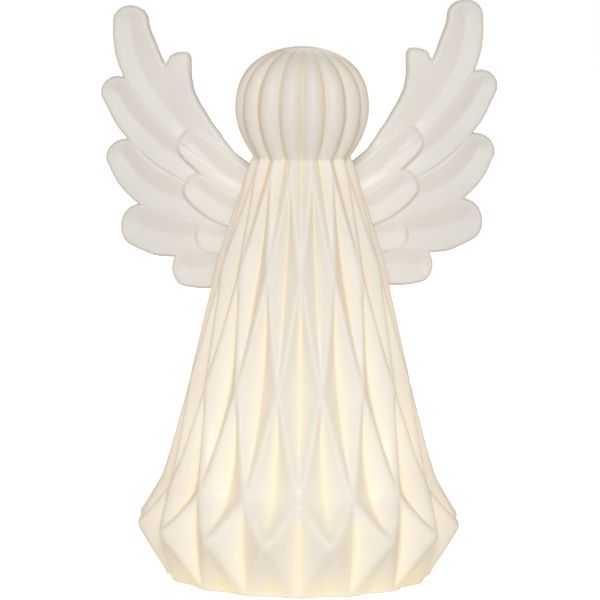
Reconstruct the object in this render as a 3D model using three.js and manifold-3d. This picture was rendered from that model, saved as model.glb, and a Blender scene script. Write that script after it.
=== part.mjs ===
// Light-up angel: a hollow folded porcelain figure with two wings, standing over a round battery light unit.
// Millimetres, +Z up, the front faces -Y, and the origin is the middle of the foot on the table.
import * as THREE from "three";
import { mergeVertices } from "three/addons/utils/BufferGeometryUtils.js";
import Module from "manifold-3d";

const wasm = await Module();
wasm.setup();

// Sizes shared by several pieces
const GAP = 0.3; // between two pieces that touch
const OVERRUN = 1; // how far a cutting tool runs past the face that it cuts
const FULL_TURN = Math.PI * 2;
const ROUND_SIDES = 32;
const SMALL_SIDES = 10;
const DOME_SIDES = 20;
const DOME_STEPS = 5;
const LAMP_SIDES = 8;
const CELL_SIDES = 18;

// Battery, AA size, and how the cells lie side by side along X
const BATTERY = { length: 50.5, radius: 7.1, nubLength: 1.4, nubRadius: 2.75, capRadius: 6.1, pitch: 15.5 };
const CELL_COUNT = 3;
const CELL_ROW_GAP_COUNT = 5; // wall, contact, cell, spring, contact, wall
const CONTACT = { thickness: 0.4, width: 9, tagWidth: 2.6, tagRise: 1.9, slotGap: 0.25 };
const SPRING = { length: 2.8, wireRadius: 0.32, smallRadius: 2, largeRadius: 3.4, turns: 3 };
const SPRING_FACETS = { turnSteps: 8, wireSides: 5 };

// Lower housing: flange, round wall and battery bay
const HOUSING = { wall: 1.8, flangeThickness: 1.8, flangeWidth: 3.4, height: 19, tableGap: 1.5 };
const BAY = { wall: 2.4, roof: 1.4, side: 0.6, doorLip: 1, ribHeight: 3.2, ribWidth: 1 };
const GRIP = { thickness: 2, height: 4.8, lipDepth: 0.6, lipHeight: 1.1, beadWidth: 1.1, beadHeight: 0.9 };
const COVER = { thickness: 2, rimWall: 1.3, rimDepth: 2.2, wireHoleRadius: 4.2, wireHoleX: -8, wireHoleY: 1 };
const COVER_SCREW = {
  x: 18, y: 29.4, shankRadius: 1.3, headRadius: 2.6, headHeight: 1.7, length: 11, bossRadius: 3.2,
};
const SCREW_SLOT = { width: 0.7, depth: 0.7 };

// Battery door and its captive screw
const DOOR = { earRadius: 4.2, earReach: 4.2, tongueWidth: 8, tongueX: 9, tongueReach: 2.4, tongueRoot: 2 };
const TONGUE = { thickness: 1 };
const DOOR_RIB = { count: 6, width: 1.2, depth: 0.5, length: 14, pitch: 2.6 };
const DOOR_SCREW = {
  shankRadius: 1.25, headRadius: 2.4, headHeight: 1.1, length: 7.2, bossRadius: 3.9, bossHeight: 8.4,
};
const DOOR_SCREW_PLAY = 0.85; // room for the captive screw to swing out of its boss with the door

// Slide switch: off, on and timer
const SWITCH = { width: 5.6, length: 12.6, height: 5, travel: 2 };
const KNOB = { width: 2.4, length: 3.4, proud: 0.6 };
const SWITCH_GRIP = { count: 3, pitch: 0.85, depth: 0.35, width: 0.5 };

// Light: board, chip, lamps and diffuser
const BOARD = { radius: 14.5, thickness: 1.6, seatHeight: 1.4, seatRadius: 12.6, seatWall: 1.4 };
const CHIP = { length: 5, width: 4, height: 1.6 };
const LAMP = { count: 6, ringRadius: 9.6, radius: 2.5, flangeRadius: 2.9, flangeHeight: 1, height: 7.6 };
const LAMP_DOME_STEPS = 3;
const DIFFUSER = { radius: 20.5, wall: 1.6, height: 26, straight: 9, collarWall: 1.5, collarHeight: 3 };
const LEAD = { radius: 0.6, bend: 5, rise: 1.6, steps: 18, sides: 6 };

// Porcelain figure: the foot takes its size from the light unit that it stands over
const PORCELAIN = { wall: 3.6, footWidth: 10, footRound: 1.5, lip: 5.4 };
const RECESS = { play: 0.5 };
const DRESS = { neckHeight: 184, hemRadius: 72.6 };
const HEAD = { radius: 29.4, height: 47.2 };
const FOLD_COUNT = 16;
// Nodes are where two ridges cross. In each row the height is a share of the neck's, the radius of the hem's,
// and the valley of the row's own node radius.
const HEM_ROW_SHARES = { height: 0.136, radius: 1, valley: 0.84 };
const UPPER_ROW_SHARES = [
  { height: 0.232, radius: 0.838, valley: 0.872 },
  { height: 0.469, radius: 0.681, valley: 0.84 },
  { height: 0.733, radius: 0.522, valley: 0.84 },
  { height: 0.971, radius: 0.333, valley: 0.84 },
];
const FOOT_VALLEY_SHARE = 0.94;
const NECK_SHARES = { radius: 0.733, valley: 0.85 };
const HEAD_SHARES = { widest: 0.435, valley: 0.885, lobe: 0.78, poleFade: 0.45 };
const HEAD_CURVE_SHARES = { spread: 1.37, above: 2.4, below: 1.87 };
const INNER_FOLD_SHARE = 0.55; // the inside follows the folds more softly than the outside
const OUTER_STEPS = [1, 2, 4, 4, 3, 1];
const INNER_STEPS = [1, 2, 2, 2, 2, 1];
const OUTER_HEAD_STEPS = 9;
const INNER_HEAD_STEPS = 5;

// Wings: a swept blade of channelled feathers, luted to the back of the dress
const WING = {
  reach: 85.6, rise: 124, top: 250, sweep: 0.21, setBack: 9, rim: 3.2, channel: 1.8, covertLift: 1.5,
  pivotHeight: 160,
};
const WING_LEAN_DEGREES = 1.5; // the pair stands askew on the dress, its right tip higher
// A feather's spine from root to tip, as [out, up, above, below]: how far out it runs and its half widths on
// both sides, of the reach, and how far up it runs, of the rise
const FEATHER_SHARES = [
  [
    [0.1, 0.286, 0.08, 0.08], [0.397, 0.438, 0.08, 0.055], [0.593, 0.561, 0.099, 0.078],
    [0.67, 0.628, 0.11, 0.088], [0.736, 0.69, 0.12, 0.094], [0.797, 0.765, 0.12, 0.105],
    [0.832, 0.838, 0.112, 0.106], [0.852, 0.914, 0.102, 0.094], [0.85, 0.996, 0.094, 0.084],
  ],
  [
    [0.397, 0.438, 0.08, 0.05], [0.48, 0.508, 0.085, 0.06], [0.553, 0.598, 0.068, 0.062],
    [0.6, 0.683, 0.062, 0.062], [0.62, 0.753, 0.063, 0.06], [0.603, 0.823, 0.045, 0.045],
  ],
  [
    [0.1, 0.22, 0.08, 0.09], [0.508, 0.397, 0.08, 0.086], [0.624, 0.457, 0.074, 0.1],
    [0.69, 0.488, 0.086, 0.1], [0.772, 0.541, 0.094, 0.102], [0.853, 0.605, 0.094, 0.1],
    [0.914, 0.671, 0.086, 0.088], [0.97, 0.737, 0.08, 0.08],
  ],
  [
    [0.1, 0.185, 0.09, 0.096], [0.457, 0.28, 0.09, 0.1], [0.589, 0.303, 0.095, 0.1],
    [0.68, 0.323, 0.108, 0.106], [0.767, 0.354, 0.108, 0.118], [0.848, 0.406, 0.102, 0.112],
    [0.905, 0.462, 0.09, 0.096], [0.957, 0.506, 0.074, 0.08],
  ],
  [
    [0.1, 0.152, 0.09, 0.1], [0.402, 0.168, 0.08, 0.084], [0.544, 0.178, 0.086, 0.092],
    [0.624, 0.178, 0.102, 0.116], [0.722, 0.189, 0.118, 0.13], [0.818, 0.213, 0.108, 0.124],
    [0.918, 0.24, 0.094, 0.102],
  ],
  [
    [0.1, 0.08, 0.1, 0.12], [0.357, 0.074, 0.1, 0.12], [0.457, 0.066, 0.106, 0.115],
    [0.528, 0.06, 0.11, 0.108], [0.594, 0.058, 0.102, 0.1], [0.666, 0.066, 0.09, 0.088],
  ],
];
// The coverts lie over the roots of the feathers. Lift is a share of the full covert's.
const COVERT_SHARES = [
  {
    lift: 1,
    stations: [
      [0.12, 0.3, 0.08, 0.078], [0.336, 0.378, 0.1, 0.072], [0.402, 0.406, 0.106, 0.076],
      [0.457, 0.445, 0.1, 0.09], [0.523, 0.494, 0.078, 0.096], [0.594, 0.54, 0.062, 0.082],
    ],
  },
  {
    lift: 1,
    stations: [
      [0.12, 0.225, 0.1, 0.1], [0.352, 0.271, 0.09, 0.096], [0.412, 0.292, 0.09, 0.1],
      [0.478, 0.326, 0.082, 0.1], [0.523, 0.354, 0.072, 0.092], [0.57, 0.382, 0.062, 0.076],
    ],
  },
  {
    lift: 0.3,
    stations: [
      [0.12, 0.168, 0.09, 0.1], [0.38, 0.172, 0.086, 0.1], [0.457, 0.174, 0.082, 0.096],
      [0.54, 0.176, 0.074, 0.084],
    ],
  },
];
// Half a feather's section: across from the spine to the edge, and its half thickness as a share of the rim's
const SECTION_SHARES = [{ across: 0.86, thick: 1 }, { across: 1, thick: 0.4 }];
const [ABOVE, BELOW] = [2, 3]; // columns of a station
const TIP_SHARES = [0.5, 0.1];
const TIP_THIN_SHARE = 0.45;
const TIP_FILL_SHARE = 0.85; // the channel runs out before the tip

// Places worked out from the sizes above
const flangeTop = HOUSING.tableGap + HOUSING.flangeThickness;
const bayHalfLength = (BATTERY.length + SPRING.length + 2 * CONTACT.thickness + CELL_ROW_GAP_COUNT * GAP) / 2;
const bayHalfWidth = (BATTERY.pitch * (CELL_COUNT - 1)) / 2 + BATTERY.radius + BAY.side;
const cellHeight = flangeTop + BAY.side + BATTERY.radius;
const bayCeiling = cellHeight + BATTERY.radius + BAY.side;
const bayTop = bayCeiling + BAY.roof;
const housingTop = HOUSING.tableGap + HOUSING.height + HOUSING.flangeThickness;
const housingRadius = Math.hypot(bayHalfLength + BAY.wall, bayHalfWidth + BAY.wall) - GAP + HOUSING.wall;
const boreRadius = housingRadius + GRIP.thickness + 2 * GAP;
const flangeRadius = boreRadius + HOUSING.flangeWidth;
const recessRadius = flangeRadius + RECESS.play;
const recessTop = flangeTop + GAP;
const lipTop = recessTop + PORCELAIN.lip;
const footRadius = recessRadius + PORCELAIN.footWidth;
const coverBottom = housingTop + GAP;
const coverTop = coverBottom + COVER.thickness;
const boardBottom = coverTop + BOARD.seatHeight + GAP;
const boardTop = boardBottom + BOARD.thickness;
const leadHeight = (bayTop + coverBottom) / 2;
const contactX = bayHalfLength - GAP - CONTACT.thickness / 2;
const switchX = -(bayHalfLength + BAY.wall + GAP + SWITCH.width / 2);
const switchBottom = flangeTop + GAP;
const doorHalfLength = bayHalfLength + BAY.doorLip;
const doorHalfWidth = bayHalfWidth + BAY.doorLip;
const earY = doorHalfWidth + DOOR.earReach;
const headTop = DRESS.neckHeight + HEAD.height;

const PORCELAIN_WHITE = new THREE.MeshStandardMaterial({ color: 0xf1ece0, roughness: 0.32, metalness: 0 });
const WHITE_PLASTIC = new THREE.MeshStandardMaterial({ color: 0xe8e8e4, roughness: 0.55, metalness: 0 });
const FROSTED = new THREE.MeshStandardMaterial({ color: 0xf4f0e6, roughness: 0.7, metalness: 0 });
const SILICONE = new THREE.MeshStandardMaterial({ color: 0xd9d8d2, roughness: 0.8, metalness: 0 });
const STEEL = new THREE.MeshStandardMaterial({ color: 0xb9babd, roughness: 0.35, metalness: 0.9 });
const CELL_JACKET = new THREE.MeshStandardMaterial({ color: 0x4d6b58, roughness: 0.4, metalness: 0.2 });
const BOARD_GREEN = new THREE.MeshStandardMaterial({ color: 0x2f6b45, roughness: 0.6, metalness: 0 });
const BLACK_PLASTIC = new THREE.MeshStandardMaterial({ color: 0x1c1c1e, roughness: 0.6, metalness: 0 });
const LAMP_RESIN = new THREE.MeshStandardMaterial({ color: 0xf3e2a8, roughness: 0.15, metalness: 0 });
const RED_SLEEVE = new THREE.MeshStandardMaterial({ color: 0xb3231f, roughness: 0.55, metalness: 0 });
const BLACK_SLEEVE = new THREE.MeshStandardMaterial({ color: 0x232325, roughness: 0.55, metalness: 0 });

const angel = new THREE.Group();

function place(name, shape, material) {
  const geometry = shape instanceof THREE.BufferGeometry ? shape : geometryOf(shape);
  const mesh = new THREE.Mesh(geometry, material);
  mesh.name = name;
  angel.add(mesh);
  return mesh;
}

// A closed three.js geometry as a solid that can be joined and cut
function solidOf(geometry) {
  const bare = new THREE.BufferGeometry().setAttribute("position", geometry.getAttribute("position").clone());
  if (geometry.index) bare.setIndex(geometry.index.clone());
  const merged = mergeVertices(bare);
  const corners = merged.index.array;
  const kept = [];
  for (let i = 0; i < corners.length; i += 3) {
    const [a, b, c] = [corners[i], corners[i + 1], corners[i + 2]];
    if (a !== b && b !== c && a !== c) kept.push(a, b, c);
  }
  const mesh = new wasm.Mesh({
    numProp: 3,
    vertProperties: new Float32Array(merged.attributes.position.array),
    triVerts: new Uint32Array(kept),
  });
  return new wasm.Manifold(mesh);
}

function geometryOf(solid) {
  const mesh = solid.getMesh();
  const geometry = new THREE.BufferGeometry();
  geometry.setAttribute("position", new THREE.BufferAttribute(new Float32Array(mesh.vertProperties), 3));
  geometry.setIndex(new THREE.BufferAttribute(new Uint32Array(mesh.triVerts), 1));
  return geometry.toNonIndexed();
}

function box(x0, x1, y0, y1, z0, z1) {
  const geometry = new THREE.BoxGeometry(x1 - x0, y1 - y0, z1 - z0);
  geometry.translate((x0 + x1) / 2, (y0 + y1) / 2, (z0 + z1) / 2);
  return solidOf(geometry);
}

function drum(radius, z0, z1, x = 0, y = 0, sides = SMALL_SIDES) {
  const geometry = new THREE.CylinderGeometry(radius, radius, z1 - z0, sides);
  geometry.rotateX(Math.PI / 2);
  geometry.translate(x, y, (z0 + z1) / 2);
  return solidOf(geometry);
}

// A profile of radius and height turned about Z. It starts and ends on the axis, or closes on itself.
function turned(profile, sides = ROUND_SIDES) {
  const points = profile.map(([radius, height]) => new THREE.Vector2(radius, height));
  const geometry = new THREE.LatheGeometry(points, sides);
  geometry.rotateX(Math.PI / 2);
  return solidOf(geometry);
}

function ring(outer, inner, z0, z1, sides = ROUND_SIDES) {
  return drum(outer, z0, z1, 0, 0, sides).subtract(drum(inner, z0 - OVERRUN, z1 + OVERRUN, 0, 0, sides));
}

function joined(solids) {
  return solids.reduce((all, one) => all.add(one));
}

// Closed skin over rings that have as many points each, with a fan at both ends
function skinned(rings) {
  const count = rings[0].length;
  const points = rings.flat();
  const first = centreOf(rings[0]);
  const last = centreOf(rings[rings.length - 1]);
  const faces = [];
  for (let level = 0; level + 1 < rings.length; level++) {
    for (let i = 0; i < count; i++) {
      const next = (i + 1) % count;
      const [a, b] = [level * count + i, level * count + next];
      const [c, d] = [a + count, b + count];
      faces.push(a, b, d, a, d, c);
    }
  }
  const [low, high, top] = [points.length, points.length + 1, (rings.length - 1) * count];
  for (let i = 0; i < count; i++) {
    const next = (i + 1) % count;
    faces.push(low, next, i, high, top + i, top + next);
  }
  const geometry = new THREE.BufferGeometry().setFromPoints([...points, first, last]);
  geometry.setIndex(faces);
  return solidOf(geometry);
}

function centreOf(points) {
  const sum = points.reduce((total, point) => total.add(point), new THREE.Vector3());
  return sum.divideScalar(points.length);
}

// The rows of fold nodes, from the foot up
function nodeRows() {
  const foot = { height: 0, node: footRadius, valley: footRadius * FOOT_VALLEY_SHARE };
  const rest = [HEM_ROW_SHARES, ...UPPER_ROW_SHARES].map((shares) => {
    const node = DRESS.hemRadius * shares.radius;
    return { height: DRESS.neckHeight * shares.height, node, valley: node * shares.valley };
  });
  return [foot, ...rest];
}

const ROWS = nodeRows();
const TOP_ROW = ROWS.length - 1;
const neckRadius = HEAD.radius * NECK_SHARES.radius;
const neckValley = neckRadius * NECK_SHARES.valley;

// Slope of the valley line where it passes through row k: it runs smoothly from node to node
function valleySlope(k) {
  if (k === 0) return (ROWS[1].node - ROWS[0].valley) / (ROWS[1].height - ROWS[0].height);
  if (k === TOP_ROW) return (neckValley - ROWS[k - 1].node) / (DRESS.neckHeight - ROWS[k - 1].height);
  return (ROWS[k + 1].node - ROWS[k - 1].node) / (ROWS[k + 1].height - ROWS[k - 1].height);
}

// Radius of a valley line at a height between its lowest point in row k and the node in row j
function valleyLine(k, j, height) {
  const span = ROWS[j].height - ROWS[k].height;
  const run = height - ROWS[k].height;
  const slope = valleySlope(k);
  const bend = (ROWS[j].node - ROWS[k].valley - slope * span) / (span * span);
  return ROWS[k].valley + slope * run + bend * run * run;
}

// One fold of the dress at a height: where its ridge stands, in folds, and the radii of its lines
function dressFold(height) {
  const lower = Math.max(0, ROWS.findLastIndex((row, i) => row.height <= height && i < TOP_ROW));
  const share = (height - ROWS[lower].height) / (ROWS[lower + 1].height - ROWS[lower].height);
  const ridge = THREE.MathUtils.lerp(ROWS[lower].node, ROWS[lower + 1].node, share);
  const own = valleyLine(lower + 1, lower, height);
  const other = valleyLine(lower, lower + 1, height);
  const [whole, half] = lower % 2 === 0 ? [own, other] : [other, own];
  const turn = lower % 2 === 0 ? share / 2 : (1 - share) / 2;
  return { whole, half, ridge, turn };
}

function neckFold(share) {
  const row = ROWS[TOP_ROW];
  const whole = THREE.MathUtils.lerp(row.valley, neckValley, share);
  const half = THREE.MathUtils.lerp(row.node, neckRadius, share);
  const turn = (1 - share / 2) / 2;
  return { whole, half, ridge: THREE.MathUtils.lerp(half, whole, share / 2), turn };
}

function headRadius(share) {
  const { widest } = HEAD_SHARES;
  const { above, below } = HEAD_CURVE_SHARES;
  if (share < widest) {
    return HEAD.radius * (1 - (1 - NECK_SHARES.radius) * ((widest - share) / widest) ** below);
  }
  const rise = Math.min(1, (share - widest) / (1 - widest));
  return HEAD.radius * Math.sqrt(1 - rise ** above);
}

// A gore of the head: a rounded lobe between two grooves, fading at the crown
function headFold(share) {
  const half = headRadius(share);
  const fade = Math.min(1, half / (HEAD.radius * HEAD_SHARES.poleFade));
  const opening = Math.min(1, share / HEAD_SHARES.widest);
  const grooveShare = THREE.MathUtils.lerp(NECK_SHARES.valley, HEAD_SHARES.valley, opening);
  const whole = half * THREE.MathUtils.lerp(1, grooveShare, fade);
  return { whole, half, ridge: THREE.MathUtils.lerp(whole, half, HEAD_SHARES.lobe), turn: 1 / 4 };
}

// Ring of points at a height, moved out by an offset. Softness 1 keeps the ridges, and less draws the nodes
// towards the valleys.
function foldRing(fold, height, offset, softness) {
  const inner = Math.min(fold.whole, fold.half);
  const crisp = softness === 1;
  const radii = crisp ? [fold.whole, fold.ridge, fold.half, fold.ridge] : [fold.whole, fold.half];
  const turns = crisp ? [0, fold.turn, 1 / 2, 1 - fold.turn] : [0, 1 / 2];
  const points = [];
  for (let i = 0; i < FOLD_COUNT; i++) {
    turns.forEach((turn, k) => {
      const radius = inner + (radii[k] - inner) * softness + offset;
      const angle = ((i + turn) / FOLD_COUNT) * FULL_TURN - Math.PI / 2;
      points.push(new THREE.Vector3(radius * Math.cos(angle), radius * Math.sin(angle), height));
    });
  }
  return points;
}

// Closed skin of the figure from a height up, moved out by an offset
function figureSkin(bottom, offset, softness, steps, headSteps, topDrop) {
  const rings = [foldRing(dressFold(bottom), bottom, offset, softness)];
  for (let row = 0; row < TOP_ROW; row++) {
    for (let step = 0; step <= steps[row]; step++) {
      const share = step / steps[row];
      const height = THREE.MathUtils.lerp(ROWS[row].height, ROWS[row + 1].height, share);
      const seen = height > bottom && (step > 0 || row === 0);
      const fold = dressFold(Math.min(height, ROWS[TOP_ROW].height));
      if (seen) rings.push(foldRing(fold, height, offset, softness));
    }
  }
  rings.push(foldRing(neckFold(1), DRESS.neckHeight, offset, softness));
  for (let step = 1; step <= headSteps; step++) {
    const share = Math.sin((step / (headSteps + 1)) * (Math.PI / 2)) ** HEAD_CURVE_SHARES.spread;
    const height = DRESS.neckHeight + share * (HEAD.height - topDrop);
    rings.push(foldRing(headFold(share), height, offset, softness));
  }
  rings.push(rings[0].map(() => new THREE.Vector3(0, 0, headTop - topDrop)));
  return skinned(rings);
}

function porcelainFigure() {
  const outside = figureSkin(PORCELAIN.footRound, 0, 1, OUTER_STEPS, OUTER_HEAD_STEPS, 0);
  const footRing = foldRing(dressFold(0), 0, -PORCELAIN.footRound, 1);
  const foot = skinned([footRing, foldRing(dressFold(PORCELAIN.footRound), PORCELAIN.footRound, 0, 1)]);
  const { wall } = PORCELAIN;
  const hollow = figureSkin(lipTop, -wall, INNER_FOLD_SHARE, INNER_STEPS, INNER_HEAD_STEPS, wall);
  const bore = drum(boreRadius, -OVERRUN, lipTop + OVERRUN, 0, 0, ROUND_SIDES);
  const recess = drum(recessRadius, -OVERRUN, recessTop, 0, 0, ROUND_SIDES);
  return outside.add(foot).subtract(joined([hollow, bore, recess]));
}

// Half width of a feather at a share of its spine, read from one column of its stations
function featherWidth(stations, column, share) {
  const place = share * (stations.length - 1);
  const i = Math.min(stations.length - 2, Math.floor(place));
  return THREE.MathUtils.lerp(stations[i][column], stations[i + 1][column], place - i) * WING.reach;
}

// Where the sections of a feather stand along its spine, and how much of the tip is left there
function featherStops(stations, spine) {
  const tip = (featherWidth(stations, ABOVE, 1) + featherWidth(stations, BELOW, 1)) / 2;
  const tipStart = 1 - tip / spine.getLength();
  const steps = Math.ceil(stations.length / 2) + 1;
  const even = Array.from({ length: steps + 1 }, (_, i) => ({ at: (i / steps) * tipStart, left: 1 }));
  return [...even, ...TIP_SHARES.map((left) => ({ at: THREE.MathUtils.lerp(1, tipStart, left), left }))];
}

// Outline of a feather's section, as shares across the half width and of the rim's thickness, with a channel
// down the middle of both faces
function featherOutline(channel) {
  const half = SECTION_SHARES.map(({ across, thick }) => [across, thick]);
  const face = [...half.toReversed(), [0, channel], ...half.map(([across, thick]) => [-across, thick])];
  return [...face, ...face.map(([across, thick]) => [across, -thick]).reverse()];
}

// One feather: a blade along its spine, channelled down the middle, with a rounded tip
function feather(stations, side, lift) {
  const bottom = WING.top - WING.rise;
  const spine = new THREE.CatmullRomCurve3(
    stations.map(([out, up]) => new THREE.Vector3(out * WING.reach, 0, bottom + up * WING.rise)),
  );
  const rings = featherStops(stations, spine).map(({ at, left }) => {
    const share = Math.min(1, spine.getUtoTmapping(at));
    const middle = spine.getPoint(share);
    const along = spine.getTangent(share);
    const round = Math.sqrt(1 - (1 - left) ** 2);
    const fill = THREE.MathUtils.lerp(TIP_THIN_SHARE, 1, Math.min(1, round / TIP_FILL_SHARE));
    const thick = lift + WING.rim * fill;
    const channel = THREE.MathUtils.lerp(1, (WING.channel + lift) / (WING.rim + lift), left);
    return featherOutline(channel).map(([across, high]) => {
      const reach = across * featherWidth(stations, across > 0 ? ABOVE : BELOW, share) * round;
      return ontoWing(middle.x - along.z * reach, middle.z + along.x * reach, high * thick, side);
    });
  });
  return side < 0 ? skinned(rings.map((points) => points.reverse())) : skinned(rings);
}

// A point of the flat wing, out and up, carried onto the swept plane behind the figure and leaned
function ontoWing(out, up, proud, side) {
  const x = side * (out + proud * Math.sin(WING.sweep));
  const y = WING.setBack + out * Math.tan(WING.sweep) - proud * Math.cos(WING.sweep);
  const lean = THREE.MathUtils.degToRad(WING_LEAN_DEGREES);
  const rise = up - WING.pivotHeight;
  const leanedX = x * Math.cos(lean) - rise * Math.sin(lean);
  return new THREE.Vector3(leanedX, y, WING.pivotHeight + x * Math.sin(lean) + rise * Math.cos(lean));
}

function wing(side, figure) {
  const feathers = FEATHER_SHARES.map((stations) => feather(stations, side, 0));
  const coverts = COVERT_SHARES.map(({ stations, lift }) => feather(stations, side, WING.covertLift * lift));
  return joined([...feathers, ...coverts]).subtract(figure);
}

function lowerHousing() {
  const inside = housingRadius - HOUSING.wall;
  const flange = drum(flangeRadius, HOUSING.tableGap, flangeTop, 0, 0, ROUND_SIDES);
  const wall = ring(housingRadius, inside, flangeTop - GAP, housingTop);
  const beadBottom = flangeTop + 2 * GAP + GRIP.height + GAP;
  const bead = ring(housingRadius + GRIP.beadWidth, inside, beadBottom, beadBottom + GRIP.beadHeight);
  const [halfX, halfY] = [bayHalfLength + BAY.wall, bayHalfWidth + BAY.wall];
  const bay = box(-halfX, halfX, -halfY, halfY, flangeTop - GAP, bayTop);
  const bossTop = housingTop - GAP;
  const bosses = screwPlaces().map(([x, y]) => drum(COVER_SCREW.bossRadius, flangeTop - GAP, bossTop, x, y));
  const doorBoss = drum(DOOR_SCREW.bossRadius, flangeTop + GAP, flangeTop + DOOR_SCREW.bossHeight, 0, earY);
  const ribs = [];
  for (let i = 1; i < CELL_COUNT; i++) {
    const y = (i - CELL_COUNT / 2) * BATTERY.pitch;
    const half = BAY.ribWidth / 2;
    ribs.push(box(-halfX, halfX, y - half, y + half, bayCeiling - BAY.ribHeight, bayTop));
  }
  const hollow = box(-bayHalfLength, bayHalfLength, -bayHalfWidth, bayHalfWidth, 0, bayCeiling);
  const screwBottom = coverBottom - COVER_SCREW.length;
  const cuts = [
    doorOutline(GAP, HOUSING.tableGap - OVERRUN, flangeTop + GAP),
    drum(DOOR_SCREW.shankRadius + DOOR_SCREW_PLAY, 0, flangeTop + DOOR_SCREW.bossHeight - GAP, 0, earY),
    switchSlot(),
    ...screwPlaces().map(([x, y]) =>
      drum(COVER_SCREW.shankRadius + GAP, screwBottom - GAP, housingTop, x, y),
    ),
    ...tongueWindows(),
    ...contactPlaces().filter((c) => c.tag).map((c) => tagSlot(c)),
  ];
  return joined([flange, wall, bead, bay, ...bosses, doorBoss])
    .subtract(hollow)
    .add(joined(ribs))
    .subtract(joined(cuts));
}

function screwPlaces() {
  return [[1, 1], [-1, 1], [-1, -1], [1, -1]].map(([sx, sy]) => [sx * COVER_SCREW.x, sy * COVER_SCREW.y]);
}

// The door's outline with its ear, grown by a margin
function doorOutline(margin, z0, z1) {
  const [halfX, halfY] = [doorHalfLength + margin, doorHalfWidth + margin];
  const plate = box(-halfX, halfX, -halfY, halfY, z0, z1);
  const radius = DOOR.earRadius + margin;
  return joined([plate, box(-radius, radius, 0, earY, z0, z1), drum(radius, z0, z1, 0, earY)]);
}

function tonguePlaces() {
  return [-DOOR.tongueX, DOOR.tongueX];
}

function tongueWindows() {
  const half = DOOR.tongueWidth / 2 + GAP;
  const reach = Math.hypot(DOOR.tongueReach + GAP, HOUSING.flangeThickness + GAP + TONGUE.thickness);
  const front = -(bayHalfWidth + BAY.wall + OVERRUN);
  return tonguePlaces().map((x) =>
    box(x - half, x + half, front, -bayHalfWidth + OVERRUN, flangeTop, HOUSING.tableGap + reach + GAP),
  );
}

function batteryDoor() {
  const plate = doorOutline(0, HOUSING.tableGap, flangeTop);
  const [tongueBottom, tongueTop] = [flangeTop + GAP, flangeTop + GAP + TONGUE.thickness];
  const [tongueEnd, tongueBack] = [-doorHalfWidth - GAP - DOOR.tongueReach, -doorHalfWidth + DOOR.tongueRoot];
  const tongues = tonguePlaces().map((x) => {
    const [x0, x1] = [x - DOOR.tongueWidth / 2, x + DOOR.tongueWidth / 2];
    const root = box(x0, x1, -doorHalfWidth, tongueBack, flangeTop - GAP, tongueTop);
    return root.add(box(x0, x1, tongueEnd, tongueBack, tongueBottom, tongueTop));
  });
  const grooves = [];
  for (let i = 0; i < DOOR_RIB.count; i++) {
    const y = doorHalfWidth - (i + 1) * DOOR_RIB.pitch;
    const [halfX, halfY] = [DOOR_RIB.length / 2, DOOR_RIB.width / 2];
    const floor = HOUSING.tableGap + DOOR_RIB.depth;
    grooves.push(box(-halfX, halfX, y - halfY, y + halfY, HOUSING.tableGap - OVERRUN, floor));
  }
  const hole = drum(DOOR_SCREW.shankRadius + GAP, 0, flangeTop + OVERRUN, 0, earY);
  const sink = drum(DOOR_SCREW.headRadius + GAP, 0, HOUSING.tableGap + DOOR_SCREW.headHeight + GAP, 0, earY);
  return joined([plate, ...tongues]).subtract(joined([...grooves, hole, sink]));
}

// A screw that points along +Z or -Z from the seat of its head
function screw(size, seat, direction, x, y) {
  const [headEnd, tip] = [seat - direction * size.headHeight, seat + direction * size.length];
  const head = drum(size.headRadius, Math.min(seat, headEnd), Math.max(seat, headEnd), x, y);
  const shank = drum(size.shankRadius, Math.min(headEnd, tip), Math.max(headEnd, tip), x, y);
  const [slot0, slot1] = [headEnd - direction * OVERRUN, headEnd + direction * SCREW_SLOT.depth];
  const half = SCREW_SLOT.width / 2;
  const [z0, z1] = [Math.min(slot0, slot1), Math.max(slot0, slot1)];
  const slots = joined([
    box(x - size.headRadius, x + size.headRadius, y - half, y + half, z0, z1),
    box(x - half, x + half, y - size.headRadius, y + size.headRadius, z0, z1),
  ]);
  return head.add(shank).subtract(slots);
}

function switchSlot() {
  const halfX = KNOB.width / 2 + GAP;
  const halfY = KNOB.length / 2 + SWITCH.travel + GAP;
  return box(switchX - halfX, switchX + halfX, -halfY, halfY, 0, flangeTop + OVERRUN);
}

function switchBody() {
  const [halfX, halfY] = [SWITCH.width / 2, SWITCH.length / 2];
  return box(switchX - halfX, switchX + halfX, -halfY, halfY, switchBottom, switchBottom + SWITCH.height);
}

function switchKnob() {
  const [halfX, halfY] = [KNOB.width / 2, KNOB.length / 2];
  const bottom = HOUSING.tableGap - KNOB.proud;
  const knob = box(switchX - halfX, switchX + halfX, -halfY, halfY, bottom, flangeTop);
  const grooves = [];
  for (let i = 0; i < SWITCH_GRIP.count; i++) {
    const y = (i - (SWITCH_GRIP.count - 1) / 2) * SWITCH_GRIP.pitch;
    const [half, far, top] = [SWITCH_GRIP.width / 2, halfX + OVERRUN, bottom + SWITCH_GRIP.depth];
    grooves.push(box(switchX - far, switchX + far, y - half, y + half, bottom - OVERRUN, top));
  }
  return knob.subtract(joined(grooves));
}

function gripRing() {
  const [inner, outer] = [housingRadius + GAP, boreRadius - GAP];
  const [bottom, top] = [flangeTop + 2 * GAP, flangeTop + 2 * GAP + GRIP.height];
  const root = outer - GRIP.lipDepth;
  return turned([
    [inner, bottom],
    [outer, bottom],
    [outer, bottom + GRIP.lipHeight],
    [root, bottom + GRIP.lipHeight + GRIP.lipDepth],
    [root, top - GRIP.lipHeight - GRIP.lipDepth],
    [outer, top - GRIP.lipHeight],
    [outer, top],
    [inner, top],
    [inner, bottom],
  ]);
}

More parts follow.
